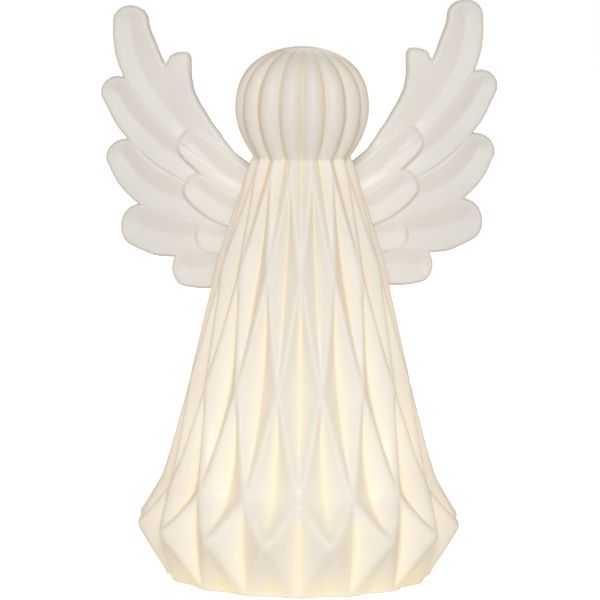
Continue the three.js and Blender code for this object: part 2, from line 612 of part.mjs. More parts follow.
// Cells lie along X and point to alternate ends: +1 has its nub towards +X
function cellPlaces() {
  return Array.from({ length: CELL_COUNT }, (_, i) => ({
    y: (i - (CELL_COUNT - 1) / 2) * BATTERY.pitch,
    end: i % 2 === 0 ? 1 : -1,
  }));
}

function battery({ y, end }) {
  const { length, radius, nubLength, nubRadius, capRadius } = BATTERY;
  const shoulder = nubLength / 2;
  const points = [
    [0, 0],
    [capRadius, 0],
    [radius, shoulder],
    [radius, length - nubLength - shoulder],
    [capRadius, length - nubLength],
    [nubRadius, length - nubLength],
    [nubRadius, length],
    [0, length],
  ].map(([r, h]) => new THREE.Vector2(r, h));
  const geometry = new THREE.LatheGeometry(points, CELL_SIDES);
  const start = bayHalfLength - 2 * GAP - CONTACT.thickness - length;
  geometry.rotateZ(-Math.PI / 2);
  geometry.translate(start, 0, 0);
  if (end < 0) geometry.rotateZ(Math.PI);
  geometry.translate(0, y, cellHeight);
  return geometry;
}

// Flat contacts: one at each end of the string, and two that bridge neighbouring cells
function contactPlaces() {
  const cells = cellPlaces();
  return [
    { name: "contact_positive", x: contactX, y0: cells[0].y, y1: cells[0].y, tag: true },
    { name: "contact_bridge_left", x: -contactX, y0: cells[0].y, y1: cells[1].y, tag: false },
    { name: "contact_bridge_right", x: contactX, y0: cells[1].y, y1: cells[2].y, tag: false },
    { name: "contact_negative", x: -contactX, y0: cells[2].y, y1: cells[2].y, tag: true },
  ];
}

function tagSlot({ x, y0 }) {
  const half = CONTACT.tagWidth / 2 + CONTACT.slotGap;
  const thick = CONTACT.thickness / 2 + CONTACT.slotGap;
  return box(x - thick, x + thick, y0 - half, y0 + half, bayCeiling - OVERRUN, bayTop + OVERRUN);
}

function contact({ x, y0, y1, tag }) {
  const [thick, wide] = [CONTACT.thickness / 2, CONTACT.width / 2];
  const plate = box(x - thick, x + thick, y0 - wide, y1 + wide, cellHeight - wide, cellHeight + wide);
  if (!tag) return plate;
  const half = CONTACT.tagWidth / 2;
  return plate.add(box(x - thick, x + thick, y0 - half, y0 + half, cellHeight, bayTop + CONTACT.tagRise));
}

// Cone spring between the flat end of a cell and its contact
function coneSpring({ y, end }) {
  const { length, wireRadius, smallRadius, largeRadius, turns } = SPRING;
  const travel = length - 2 * wireRadius;
  class Coil extends THREE.Curve {
    getPoint(share, target = new THREE.Vector3()) {
      const angle = share * turns * FULL_TURN;
      const radius = THREE.MathUtils.lerp(largeRadius, smallRadius, share);
      return target.set(share * travel, radius * Math.cos(angle), radius * Math.sin(angle));
    }
  }
  const section = new THREE.Shape(circle(wireRadius, SPRING_FACETS.wireSides));
  const sweep = { steps: turns * SPRING_FACETS.turnSteps, bevelEnabled: false, extrudePath: new Coil() };
  const geometry = new THREE.ExtrudeGeometry(section, sweep);
  geometry.translate(-(bayHalfLength - GAP - CONTACT.thickness - GAP - wireRadius), 0, 0);
  if (end < 0) geometry.rotateZ(Math.PI);
  geometry.translate(0, y, cellHeight);
  return geometry;
}

function circle(radius, sides) {
  return Array.from({ length: sides }, (_, i) => {
    const angle = (i / sides) * FULL_TURN;
    return new THREE.Vector2(radius * Math.cos(angle), radius * Math.sin(angle));
  });
}

function housingCover() {
  const disc = drum(housingRadius, coverBottom, coverTop, 0, 0, ROUND_SIDES);
  const rimOuter = housingRadius - HOUSING.wall - GAP;
  const rim = ring(rimOuter, rimOuter - COVER.rimWall, coverBottom - COVER.rimDepth, coverBottom + GAP);
  const collarRadius = DIFFUSER.radius - DIFFUSER.wall - GAP;
  const [collarTop, seatTop] = [coverTop + DIFFUSER.collarHeight, coverTop + BOARD.seatHeight];
  const collarInside = collarRadius - DIFFUSER.collarWall;
  const collar = ring(collarRadius, collarInside, coverTop - GAP, collarTop, DOME_SIDES);
  const seat = ring(BOARD.seatRadius, BOARD.seatRadius - BOARD.seatWall, coverTop - GAP, seatTop, DOME_SIDES);
  const reliefBottom = coverBottom - COVER.rimDepth - OVERRUN;
  const [under, over] = [coverBottom - OVERRUN, coverTop + OVERRUN];
  const cuts = [drum(COVER.wireHoleRadius, under, over, COVER.wireHoleX, COVER.wireHoleY)];
  for (const [x, y] of screwPlaces()) {
    cuts.push(drum(COVER_SCREW.shankRadius + GAP, under, over, x, y));
    cuts.push(drum(COVER_SCREW.bossRadius + 2 * GAP, reliefBottom, coverBottom, x, y));
  }
  return joined([disc, rim, collar, seat]).subtract(joined(cuts));
}

function diffuser() {
  const { radius, wall, height, straight } = DIFFUSER;
  const bottom = coverTop + GAP;
  const bend = bottom + straight;
  const arc = (r, rise, steps) =>
    Array.from({ length: steps + 1 }, (_, i) => {
      const angle = (i / steps) * (Math.PI / 2);
      return [r * Math.cos(angle), bend + rise * Math.sin(angle)];
    });
  const outer = arc(radius, height - straight, DOME_STEPS);
  const inner = arc(radius - wall, height - straight - wall, DOME_STEPS).reverse();
  outer[outer.length - 1][0] = 0;
  inner[0][0] = 0;
  return turned([...inner, [radius - wall, bottom], [radius, bottom], ...outer], DOME_SIDES);
}

function timerChip() {
  const [halfX, halfY, bottom] = [CHIP.length / 2, CHIP.width / 2, boardTop + GAP];
  return box(-halfX, halfX, -halfY, halfY, bottom, bottom + CHIP.height);
}

function lamp(index) {
  const angle = (index / LAMP.count) * FULL_TURN;
  const [x, y] = [LAMP.ringRadius * Math.cos(angle), LAMP.ringRadius * Math.sin(angle)];
  const bottom = boardTop + GAP;
  const bend = bottom + LAMP.height - LAMP.radius;
  const profile = [[0, bottom], [LAMP.flangeRadius, bottom], [LAMP.flangeRadius, bottom + LAMP.flangeHeight]];
  profile.push([LAMP.radius, bottom + LAMP.flangeHeight], [LAMP.radius, bend]);
  for (let i = 1; i < LAMP_DOME_STEPS; i++) {
    const lift = (i / LAMP_DOME_STEPS) * (Math.PI / 2);
    profile.push([LAMP.radius * Math.cos(lift), bend + LAMP.radius * Math.sin(lift)]);
  }
  profile.push([0, bend + LAMP.radius]);
  const points = profile.map(([r, h]) => new THREE.Vector2(r, h));
  const geometry = new THREE.LatheGeometry(points, LAMP_SIDES);
  geometry.rotateX(Math.PI / 2);
  geometry.translate(x, y, 0);
  return geometry;
}

// A lead is a round tube through its points, which stay as they were chosen
function lead(points) {
  const path = new THREE.CatmullRomCurve3(points.map(([x, y, z]) => new THREE.Vector3(x, y, z)));
  const section = new THREE.Shape(circle(LEAD.radius, LEAD.sides));
  return new THREE.ExtrudeGeometry(section, { steps: LEAD.steps, bevelEnabled: false, extrudePath: path });
}

// From the first cell's tag, from the last cell's tag to the switch, and from the switch to the board
function leadPlaces() {
  const cells = cellPlaces();
  const tagGap = CONTACT.thickness / 2 + GAP;
  const [holeX, holeY, spread] = [COVER.wireHoleX, COVER.wireHoleY, COVER.wireHoleRadius / 2];
  const under = boardBottom - GAP;
  const bend = LEAD.bend;
  const switchTop = switchBottom + SWITCH.height + GAP;
  const past = -(bayHalfLength + BAY.wall + LEAD.radius + GAP);
  const poleY = SWITCH.length / 4;
  const [firstY, lastY] = [cells[0].y, cells[CELL_COUNT - 1].y];
  return {
    positive: [
      [contactX - tagGap, firstY, leadHeight],
      [contactX - bend, firstY, leadHeight],
      [0, firstY / 2, leadHeight],
      [holeX + spread + bend / 2, holeY - spread / 2, leadHeight],
      [holeX + spread, holeY, leadHeight + LEAD.rise],
      [holeX + spread, holeY, under],
    ],
    negative: [
      [-contactX - tagGap, lastY, leadHeight],
      [past, lastY, leadHeight],
      [switchX, lastY - bend, leadHeight - bend],
      [switchX, poleY + LEAD.radius, switchTop + bend],
      [switchX, poleY, switchTop],
    ],
    switched: [
      [switchX, -poleY, switchTop],
      [switchX, -poleY, switchTop + bend],
      [past - LEAD.radius, -poleY, leadHeight - LEAD.radius / 2],
      [past + bend, -poleY, leadHeight],
      [holeX - spread - bend / 2, holeY - spread / 2, leadHeight],
      [holeX - spread, holeY, leadHeight + LEAD.rise],
      [holeX - spread, holeY, under],
    ],
  };
}

const figureBody = porcelainFigure();
const figureSeat = figureSkin(PORCELAIN.footRound, GAP, 1, OUTER_STEPS, OUTER_HEAD_STEPS, 0);
place("porcelain_figure", figureBody, PORCELAIN_WHITE);
place("wing_left", wing(-1, figureSeat), PORCELAIN_WHITE);
place("wing_right", wing(1, figureSeat), PORCELAIN_WHITE);

place("lower_housing", lowerHousing(), WHITE_PLASTIC);
place("grip_ring", gripRing(), SILICONE);
place("battery_door", batteryDoor(), WHITE_PLASTIC);
place("door_screw", screw(DOOR_SCREW, HOUSING.tableGap + DOOR_SCREW.headHeight, 1, 0, earY), STEEL);
place("switch_body", switchBody(), STEEL);
place("switch_knob", switchKnob(), BLACK_PLASTIC);
cellPlaces().forEach((cell, i) => place(`battery_${i + 1}`, battery(cell), CELL_JACKET));
cellPlaces().forEach((cell, i) => place(`spring_${i + 1}`, coneSpring(cell), STEEL));
contactPlaces().forEach((spot) => place(spot.name, contact(spot), STEEL));

place("housing_cover", housingCover(), WHITE_PLASTIC);
screwPlaces().forEach(([x, y], i) => {
  place(`cover_screw_${i + 1}`, screw(COVER_SCREW, coverTop + GAP, -1, x, y), STEEL);
});
place("led_board", drum(BOARD.radius, boardBottom, boardTop, 0, 0, DOME_SIDES), BOARD_GREEN);
place("timer_chip", timerChip(), BLACK_PLASTIC);
for (let i = 0; i < LAMP.count; i++) place(`led_${i + 1}`, lamp(i), LAMP_RESIN);
place("diffuser", diffuser(), FROSTED);
const leads = leadPlaces();
place("lead_positive", lead(leads.positive), RED_SLEEVE);
place("lead_negative", lead(leads.negative), BLACK_SLEEVE);
place("lead_switched", lead(leads.switched), BLACK_SLEEVE);

export default angel;
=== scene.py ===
"""The light-up angel dressed for its photograph.

Folded porcelain lit from inside, two cast wings, and the light unit in the foot with its plastics and metals.
"""

import math

import bmesh
import bpy
import numpy as np
from mathutils import Euler, Matrix, Vector


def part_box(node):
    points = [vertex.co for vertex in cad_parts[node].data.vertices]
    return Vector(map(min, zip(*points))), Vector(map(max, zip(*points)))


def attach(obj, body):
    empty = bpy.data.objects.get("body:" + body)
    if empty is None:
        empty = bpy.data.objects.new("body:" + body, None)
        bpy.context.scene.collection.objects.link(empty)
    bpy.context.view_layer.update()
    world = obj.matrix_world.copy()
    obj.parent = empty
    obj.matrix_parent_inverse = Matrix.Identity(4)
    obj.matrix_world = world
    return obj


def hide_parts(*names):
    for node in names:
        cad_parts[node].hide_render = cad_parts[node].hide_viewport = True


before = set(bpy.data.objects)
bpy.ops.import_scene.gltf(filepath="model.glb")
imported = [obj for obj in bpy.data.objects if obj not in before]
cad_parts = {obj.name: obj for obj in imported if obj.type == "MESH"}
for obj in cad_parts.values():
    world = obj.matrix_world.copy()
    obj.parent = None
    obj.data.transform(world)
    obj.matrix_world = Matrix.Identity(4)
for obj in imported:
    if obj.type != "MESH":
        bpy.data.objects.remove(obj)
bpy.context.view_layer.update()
MM = 0.001
BLACK = (0.0, 0.0, 0.0)

# How far apart, in metres, points may lie and still be one
MEETING, WING_MEETING = 0.000001, 0.00002


def both_ways(operation):
    """An operator and its reflected form, each of which adds one Math node."""

    def plain(value, other):
        return value.tree.maths(operation, value, other)

    def reflected(value, other):
        return value.tree.maths(operation, other, value)

    return plain, reflected


class Value:
    """What a socket of a node tree gives out, for use in expressions."""

    def __init__(self, tree, socket):
        self.tree, self.socket = tree, socket

    def __abs__(self):
        return self.tree.maths("ABSOLUTE", self)

    __add__, __radd__ = both_ways("ADD")
    __sub__, __rsub__ = both_ways("SUBTRACT")
    __mul__, __rmul__ = both_ways("MULTIPLY")
    __truediv__, __rtruediv__ = both_ways("DIVIDE")
    __pow__, __rpow__ = both_ways("POWER")
    __or__, __ror__ = both_ways("MAXIMUM")


class Tree:
    """A node tree. Its maths is written as expressions, and every other node comes from add."""

    def __init__(self, tree):
        self.tree = tree

    def put(self, value, socket):
        if isinstance(value, Value):
            self.tree.links.new(value.socket, socket)
        else:
            socket.default_value = (*value, 1) if socket.type == "RGBA" else value

    def add(self, kind, settings=(), sockets=(), output=0):
        """Adds a node with its settings and its sockets' values or links, and gives one of its outputs."""
        node = self.tree.nodes.new(kind)
        for key, value in dict(settings).items():
            setattr(node, key, value)
        for key, value in dict(sockets).items():
            self.put(value, node.inputs[key])
        return Value(self, node.outputs[output]) if node.outputs else node

    def maths(self, operation, *values):
        return self.add("ShaderNodeMath", {"operation": operation}, enumerate(values))

    def seen_by(self, *kinds):
        """1 for rays of the kinds named, and 0 for all others."""
        masks = [self.add("ShaderNodeLightPath", output=f"Is {kind} Ray") for kind in kinds]
        either = masks[0]
        for mask in masks[1:]:
            either = either | mask
        return either


class Finish(Tree):
    """A material whose patterns follow the piece's own coordinates, in metres."""

    def __init__(self, name, **looks):
        self.material = bpy.data.materials.new(name)
        self.material.use_nodes = True
        super().__init__(self.material.node_tree)
        self.shader = next(node for node in self.tree.nodes if node.type == "BSDF_PRINCIPLED")
        self.place = self.add("ShaderNodeTexCoord", output="Object")
        self.look(**looks)

    def look(self, **looks):
        """Sets the shader's sockets, which are named with underscores for their spaces."""
        for key, value in looks.items():
            self.put(value, self.shader.inputs[key.replace("_", " ")])

    def noise(self, scale, detail=3.0, stretch=(1, 1, 1)):
        stretched = self.add("ShaderNodeMapping", {}, {"Vector": self.place, "Scale": stretch})
        return self.add("ShaderNodeTexNoise", {}, {"Vector": stretched, "Scale": scale, "Detail": detail})

    def ramp(self, value, low, high, to_low=0.0, to_high=1.0):
        return self.add("ShaderNodeMapRange", {"interpolation_type": "SMOOTHSTEP"}, {
            "Value": value, "From Min": low, "From Max": high, "To Min": to_low, "To Max": to_high})

    def mix(self, share, low, high):
        """Mixes two colours. A Mix node's sockets 6 and 7 and its output 2 are the ones for colour."""
        return self.add("ShaderNodeMix", {"data_type": "RGBA", "clamp_factor": False}, {
            "Factor": share, 6: low, 7: high}, 2)

    def bump(self, height, strength, distance):
        self.look(Normal=self.add("ShaderNodeBump", {}, {
            "Strength": strength, "Distance": distance, "Height": height}))

    def length(self, vector):
        return self.add("ShaderNodeVectorMath", {"operation": "LENGTH"}, {0: vector}, "Value")


def darker(colour, share):
    return tuple(c * share for c in colour)


# Noise keeps near its middle, so a pattern takes its whole range from one of these spans of it
SOFT_SPAN, FULL_SPAN, UPPER_SPAN = (0.35, 0.65), (0.3, 0.7), (0.4, 0.7)

# Glaze: patterns are in waves for each metre, heights in metres. A band of painted light or shade is (from,
# to, at from, at to).
CLOUDS, RIPPLES, GRAIN, CLOUD_SHARE = 38, 70, 420, 0.985
GLAZE_ROUGH, GLAZE_ROUGHEST, GLAZE_SPECULAR, GLAZE_COAT, COAT_ROUGH = 0.5, 0.57, 0.2, 0.12, 0.08
RIPPLE_SHARE, GLAZE_BUMP, GLAZE_DEPTH = 0.8, 0.12, 0.0006
# The figure's own tone, a painted warmth of the inner light, and a painted tan shade for the creases
FIGURE_TONE, INNER_LIGHT_TINT, CREASE_SHADE_TONE = (0.8, 0.775, 0.752), (0.8, 0.753, 0.688), (0.735, 0.613, 0.4)
# The wings' own tone, and the colour of their painted root glow
WING_TONE, ROOT_GLOW = (0.752, 0.73, 0.688), (1.0, 0.95, 0.86)
# Painted glow for the inner lamps' light through the thin walls: its colours, powers, height bands and
# strengths
WALL_GLOW, VALLEY_GLOW = (1.0, 0.87, 0.46), (1.0, 0.85, 0.52)
INNER_LIGHT_TINT_POWER, CREASE_SHADE_POWER, WALL_POWER, VALLEY_POWER = 0.5, 5.0, 0.25, 3.0
FOOT_LIGHT, SKIRT_LIGHT, CROWN_LIGHT = (0.0, 0.024, 0.2, 0.0), (0.04, 0.23, 1.0, 0.0), (0.2, 0.231, 0.0, 0.3)
NECK_MIDDLE, NECK_LIGHT = 0.178, (0.0, 0.022, 0.2, 0.0)
VALLEY_LIGHT, CREASE_SHADE_BAND = (0.1, 0.2, 0.25, 0.05), (0.17, 0.2, 0.45, 0.5)
# Where the wings' painted root glow fades out from the axis
ROOT_LIGHT = (0.02, 0.09, 1.0, 0.0)
FIGURE_STRENGTH, WING_STRENGTH = 0.2, 0.09

# Plastic and metal: their shades and sheen, and the grain with its depth in metres
PLASTIC_SHADES, PLASTIC_DARKEST, PLASTIC_SHEEN, SHINIER, DULLER = 60, 0.96, 300, 0.05, 0.06
PLASTIC_GRAIN, BOARD_WEAVE, PLASTIC_BUMP, PLASTIC_DEPTH = 900, 1500, 0.25, 0.00004
METAL_SHADES, METAL_DARKEST, METAL_STREAKS, METAL_SHINIER, METAL_DULLER = 90, 0.9, 700, 0.06, 0.1
METAL_GRAIN, METAL_BUMP, METAL_DEPTH, STREAK, FINE_STREAK = 1400, 0.15, 0.00002, (1, 1, 8), (1, 1, 10)
RESIN_CLOUDS, RESIN_ROUGH, LAMP_GLOW, LAMP_STRENGTH = 200, 0.15, (1.0, 0.82, 0.5), 1.2
DOME_GLOW, DOME_STRENGTH = (1.0, 0.84, 0.56), 0.3


def porcelain(name, colour):
    """Glazed white porcelain, a little cloudy and rippled, and its tone."""
    m = Finish(name, Specular_IOR_Level=GLAZE_SPECULAR, Coat_Weight=GLAZE_COAT, Coat_Roughness=COAT_ROUGH)
    grain = m.noise(GRAIN, 2)
    m.look(Roughness=m.ramp(grain, *FULL_SPAN, GLAZE_ROUGH, GLAZE_ROUGHEST))
    m.bump(RIPPLE_SHARE * m.noise(RIPPLES, 2) + (1 - RIPPLE_SHARE) * grain, GLAZE_BUMP, GLAZE_DEPTH)
    return m, m.mix(m.ramp(m.noise(CLOUDS, 4), *SOFT_SPAN), darker(colour, CLOUD_SHARE), colour)


def lit_porcelain():
    """The figure's glaze: a painted glow on the thin of the folds, most at the skirt, stands in for the inner
    lamps' light, with painted warmth there and painted tan shade in the creases.
    """
    m, tone = porcelain("lit_porcelain", FIGURE_TONE)
    thin = m.add("ShaderNodeAttribute", {"attribute_name": "thin"}, output="Fac")
    z = m.add("ShaderNodeSeparateXYZ", {}, {0: m.place}, "Z")
    # Painted warmth of the inner light where the wall is thin, then a painted tan shade in the creases
    tone = m.mix(thin ** INNER_LIGHT_TINT_POWER, tone, INNER_LIGHT_TINT)
    tone = m.mix(thin ** CREASE_SHADE_POWER * m.ramp(z, *CREASE_SHADE_BAND), tone, CREASE_SHADE_TONE)
    # Painted glow for the inner lamps' light: in height bands on the thin walls, and narrower in the valleys
    light = m.ramp(z, *FOOT_LIGHT) + m.ramp(z, *SKIRT_LIGHT) + m.ramp(z, *CROWN_LIGHT)
    light = light + m.ramp(abs(z - NECK_MIDDLE), *NECK_LIGHT)
    wall = m.mix(thin ** WALL_POWER * light, BLACK, WALL_GLOW)
    valley = m.mix(thin ** VALLEY_POWER * m.ramp(z, *VALLEY_LIGHT), BLACK, VALLEY_GLOW)
    glow = m.add("ShaderNodeVectorMath", {"operation": "ADD"}, {0: wall, 1: valley})
    m.look(Base_Color=tone, Emission_Color=glow, Emission_Strength=FIGURE_STRENGTH)
    return m.material


def wing_porcelain():
    """The wings' glaze, with a painted glow only near their roots for the figure's light reaching them there.
    """
    m, tone = porcelain("wing_porcelain", WING_TONE)
    # Painted glow for the figure's light, fading out from the axis
    aside = m.add("ShaderNodeVectorMath", {"operation": "MULTIPLY"}, {0: m.place, 1: (1, 1, 0)})
    glow = m.mix(m.ramp(m.length(aside), *ROOT_LIGHT), BLACK, ROOT_GLOW)
    m.look(Base_Color=tone, Emission_Color=glow, Emission_Strength=WING_STRENGTH)
    return m.material


def plastic(name, colour, roughness, grain=PLASTIC_GRAIN, **looks):
    """Moulded plastic with a faint grain and a little unevenness in colour and sheen."""
    m = Finish(name, **looks)
    shades, sheen = m.noise(PLASTIC_SHADES), m.noise(PLASTIC_SHEEN, 2)
    m.look(Base_Color=m.mix(m.ramp(shades, *SOFT_SPAN), darker(colour, PLASTIC_DARKEST), colour))
    m.look(Roughness=m.ramp(sheen, *FULL_SPAN, roughness - SHINIER, roughness + DULLER))
    m.bump(m.noise(grain, 2), PLASTIC_BUMP, PLASTIC_DEPTH)
    return m.material


def metal(name, colour, roughness):
    """Drawn metal: its streaks run level round the piece."""
    m = Finish(name, Metallic=1.0)
    shades, streaks = m.noise(METAL_SHADES), m.noise(METAL_STREAKS, 2, STREAK)
    m.look(Base_Color=m.mix(m.ramp(shades, *UPPER_SPAN), darker(colour, METAL_DARKEST), colour))
    m.look(Roughness=m.ramp(streaks, *FULL_SPAN, roughness - METAL_SHINIER, roughness + METAL_DULLER))
    m.bump(m.noise(METAL_GRAIN, 2, FINE_STREAK), METAL_BUMP, METAL_DEPTH)
    return m.material


def clear_resin(name, pale, deep):
    """The lamps' resin, which glows."""
    m = Finish(name, Roughness=RESIN_ROUGH, Emission_Color=LAMP_GLOW, Emission_Strength=LAMP_STRENGTH)
    m.look(Base_Color=m.mix(m.ramp(m.noise(RESIN_CLOUDS, 2), *FULL_SPAN), deep, pale))
    return m.material


figure_glaze, wing_glaze = lit_porcelain(), wing_porcelain()
white = plastic("white_plastic", (0.78, 0.78, 0.75), 0.5)
frosted = plastic("frosted_plastic", (0.86, 0.82, 0.72), 0.62,
                  Emission_Color=DOME_GLOW, Emission_Strength=DOME_STRENGTH)
silicone = plastic("pale_silicone", (0.66, 0.65, 0.61), 0.72)
black = plastic("black_plastic", (0.02, 0.02, 0.022), 0.5)
board = plastic("green_board", (0.03, 0.16, 0.07), 0.45, BOARD_WEAVE)
jacket = plastic("cell_jacket", (0.07, 0.15, 0.1), 0.32)
red_sleeve = plastic("red_sleeve", (0.45, 0.02, 0.015), 0.45)
steel = metal("plated_steel", (0.62, 0.62, 0.6), 0.3)
resin = clear_resin("lamp_resin", (0.95, 0.84, 0.55), (0.9, 0.7, 0.32))


def link(name, mesh, material, body, replaced):
    """Puts a finished piece on its body, in the place of the solid it replaces."""
    mesh.materials.clear()
    mesh.materials.append(material)
    piece = bpy.data.objects.new(name, mesh)
    bpy.context.scene.collection.objects.link(piece)
    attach(piece, body)
    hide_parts(replaced)


def mended(mesh, apart=MEETING):
    """Merges the points that meet, drops what has folded to a line, and turns every face outwards."""
    bm = bmesh.new()
    bm.from_mesh(mesh)
    bmesh.ops.remove_doubles(bm, verts=bm.verts, dist=apart)
    bmesh.ops.delete(bm, geom=[edge for edge in bm.edges if not edge.link_faces], context="EDGES")
    bmesh.ops.recalc_face_normals(bm, faces=bm.faces)
    for face in bm.faces:
        face.smooth = True
    bm.to_mesh(mesh)
    bm.free()
    return mesh


def strip_mesh(name, radii, heights, angles):
    """An open strip of faces over rings of points, each at a height and with a radius for each angle."""
    level = np.broadcast_to(heights[:, None], (len(heights), len(angles)))
    points = np.stack([radii * np.cos(angles), radii * np.sin(angles), level], -1) * MM
    rings, columns = level.shape
    i, j = np.meshgrid(np.arange(rings - 1), np.arange(columns - 1), indexing="ij")
    corner = i * columns + j
    quads = np.stack([corner, corner + 1, corner + columns + 1, corner + columns], -1)
    mesh = bpy.data.meshes.new(name)
    mesh.from_pydata(points.reshape(-1, 3).tolist(), [], quads.reshape(-1, 4).tolist())
    return mesh


def round_group():
    """Geometry nodes that repeat a strip round the upright axis and join the copies where they meet."""
    group = bpy.data.node_groups.new("repeat_round", "GeometryNodeTree")
    given = {"Strip": "Geometry", "Copies": "Int", "Meeting": "Float", "Material": "Material"}
    for name, kind in given.items():
        group.interface.new_socket(name, in_out="INPUT", socket_type="NodeSocket" + kind)
    group.interface.new_socket("Piece", in_out="OUTPUT", socket_type="NodeSocketGeometry")
    t = Tree(group)
    strip, copies, meeting, material = (t.add("NodeGroupInput", output=name) for name in given)
    starts = t.add("GeometryNodeMeshLine", {}, {"Count": copies, "Offset": (0, 0, 0)})
    angle = t.add("GeometryNodeInputIndex") * (2 * math.pi) / copies
    turned = t.add("ShaderNodeCombineXYZ", {}, {"Z": angle})
    placed = t.add("GeometryNodeInstanceOnPoints", {}, {
        "Points": starts, "Instance": strip, "Rotation": turned})
    real = t.add("GeometryNodeRealizeInstances", {}, {"Geometry": placed})
    joined = t.add("GeometryNodeMergeByDistance", {}, {"Geometry": real, "Distance": meeting})
    finished = t.add("GeometryNodeSetMaterial", {}, {"Geometry": joined, "Material": material})
    t.add("NodeGroupOutput", {}, {"Piece": finished})
    return group


ROUND = round_group()


def repeated_round(strip, copies, material):
    """One plain mesh of the strip's copies, which close all round."""
    carrier = bpy.data.objects.new("carrier", strip)
    bpy.context.scene.collection.objects.link(carrier)
    modifier = carrier.modifiers.new("round", "NODES")
    modifier.node_group = ROUND
    sizes = {"Copies": copies, "Meeting": MEETING, "Material": material}
    for item in ROUND.interface.items_tree:
        if item.name in sizes:
            modifier[item.identifier] = sizes[item.name]
    graph = bpy.context.evaluated_depsgraph_get()
    mesh = bpy.data.meshes.new_from_object(
        carrier.evaluated_get(graph), preserve_all_data_layers=True, depsgraph=graph)
    carrier.modifiers.remove(modifier)
    bpy.data.objects.remove(carrier)
    bpy.data.meshes.remove(strip)
    return mended(mesh)


# The figure, in millimetres, with the same rows of fold nodes as the solid. A row's height is a share of the
# neck's, its radius of the hem's, and its valley of its own radius.
FOLDS, FOLD_COLUMNS, OUTER_STEP, INNER_STEP = 16, 22, 1.15, 6.0
COLUMNS = FOLDS * FOLD_COLUMNS
NECK_HEIGHT, HEAD_HEIGHT, HEAD_RADIUS = 184.0, 47.2, 29.4
HEM_RADIUS, FOOT_RADIUS, FOOT_VALLEY = 72.6, 57.6, 0.94
ROWS = [(0.136, 1.0, 0.84), (0.232, 0.838, 0.872), (0.469, 0.681, 0.84), (0.733, 0.522, 0.84),
        (0.971, 0.333, 0.84)]
NECK_SHARE, NECK_VALLEY = 0.733, 0.85
HEAD_WIDEST, HEAD_VALLEY, LOBE_POWER, POLE_FADE = 0.435, 0.885, 0.75, 0.3
HEAD_ABOVE, HEAD_BELOW, CROWN_POWER = 2.4, 1.87, 0.9
NEAR_POLE, INNER_NEAR_POLE, FOLD_EDGE = 0.9999, 0.995, 0.004
SKIRT_SAMPLES, CROWN_SAMPLES = 1500, 900
WALL, INNER_FOLD, INNER_CAP, INNER_POLE = 3.6, 0.55, 6.0, 0.2
RECESS_RADIUS, RECESS_TOP, RECESS_EASE = 47.6, 3.6, 0.5
BORE_RADIUS, BORE_EASE, LIP_TOP, LIP_EASE = 43.7, 0.6, 9.0, 0.8
FOOT_TURN, FOOT_ROUND, FLAT_EDGE = 1.5, [(0.75, 0.2), (0.2, 0.75)], 0.5
FOLD_ROUND, INNER_ROUND, PROFILE_ROUND, RIDGE_PROFILE = 0.45, 0.9, 0.6, 1.4
RIDGE_ROUND = [(12, 1.0), (28, 1.7), (45, 1.7), (80, 1.0)]
WEAR, COLLAR, BLUR_REACH, SMALLEST_RING = 0.12, 4.0, 3, 2.0
GLOW_DEPTH, FOOT_THIN = 2.2, 0.3

nodes = np.array([[0.0, FOOT_RADIUS, FOOT_RADIUS * FOOT_VALLEY]] + [
    [NECK_HEIGHT * h, HEM_RADIUS * r, HEM_RADIUS * r * v] for h, r, v in ROWS])
TOP = len(nodes) - 1
neck_radius = HEAD_RADIUS * NECK_SHARE
neck_valley = neck_radius * NECK_VALLEY
turn = (np.arange(COLUMNS) / FOLD_COLUMNS) % 1.0
folded = 0.5 - np.abs(turn - 0.5)


def valley_line(k, j, z):
    """Radius at height z of the valley that is lowest in row k and meets the node in row j."""
    if k == 0:
        slope = (nodes[1, 1] - nodes[0, 2]) / (nodes[1, 0] - nodes[0, 0])
    elif k == TOP:
        slope = (neck_valley - nodes[k - 1, 1]) / (NECK_HEIGHT - nodes[k - 1, 0])
    else:
        slope = (nodes[k + 1, 1] - nodes[k - 1, 1]) / (nodes[k + 1, 0] - nodes[k - 1, 0])
    span, run = nodes[j, 0] - nodes[k, 0], z - nodes[k, 0]
    bend = (nodes[j, 1] - nodes[k, 2] - slope * span) / span ** 2
    return nodes[k, 2] + slope * run + bend * run * run


def dress_lines(z):
    """Radii at height z of a fold's edge, middle and ridge, and where the ridge stands across the fold."""
    low = max(k for k in range(TOP) if nodes[k, 0] <= z or k == 0)
    share = (z - nodes[low, 0]) / (nodes[low + 1, 0] - nodes[low, 0])
    ridge = nodes[low, 1] + (nodes[low + 1, 1] - nodes[low, 1]) * share
    own, other = valley_line(low + 1, low, z), valley_line(low, low + 1, z)
    if low % 2 == 0:
        return own, other, ridge, share / 2
    return other, own, ridge, (1 - share) / 2


def neck_lines(share):
    """The same for the short run from the last row of nodes up to the neck."""
    whole = nodes[TOP, 2] + (neck_valley - nodes[TOP, 2]) * share
    half = nodes[TOP, 1] + (neck_radius - nodes[TOP, 1]) * share
    return whole, half, half + (whole - half) * share / 2, (1 - share / 2) / 2


def head_radius(share):
    if share < HEAD_WIDEST:
        return HEAD_RADIUS * (1 - (1 - NECK_SHARE) * ((HEAD_WIDEST - share) / HEAD_WIDEST) ** HEAD_BELOW)
    rise = min(1.0, (share - HEAD_WIDEST) / (1 - HEAD_WIDEST))
    return HEAD_RADIUS * math.sqrt(max(0.0, 1 - rise ** HEAD_ABOVE))


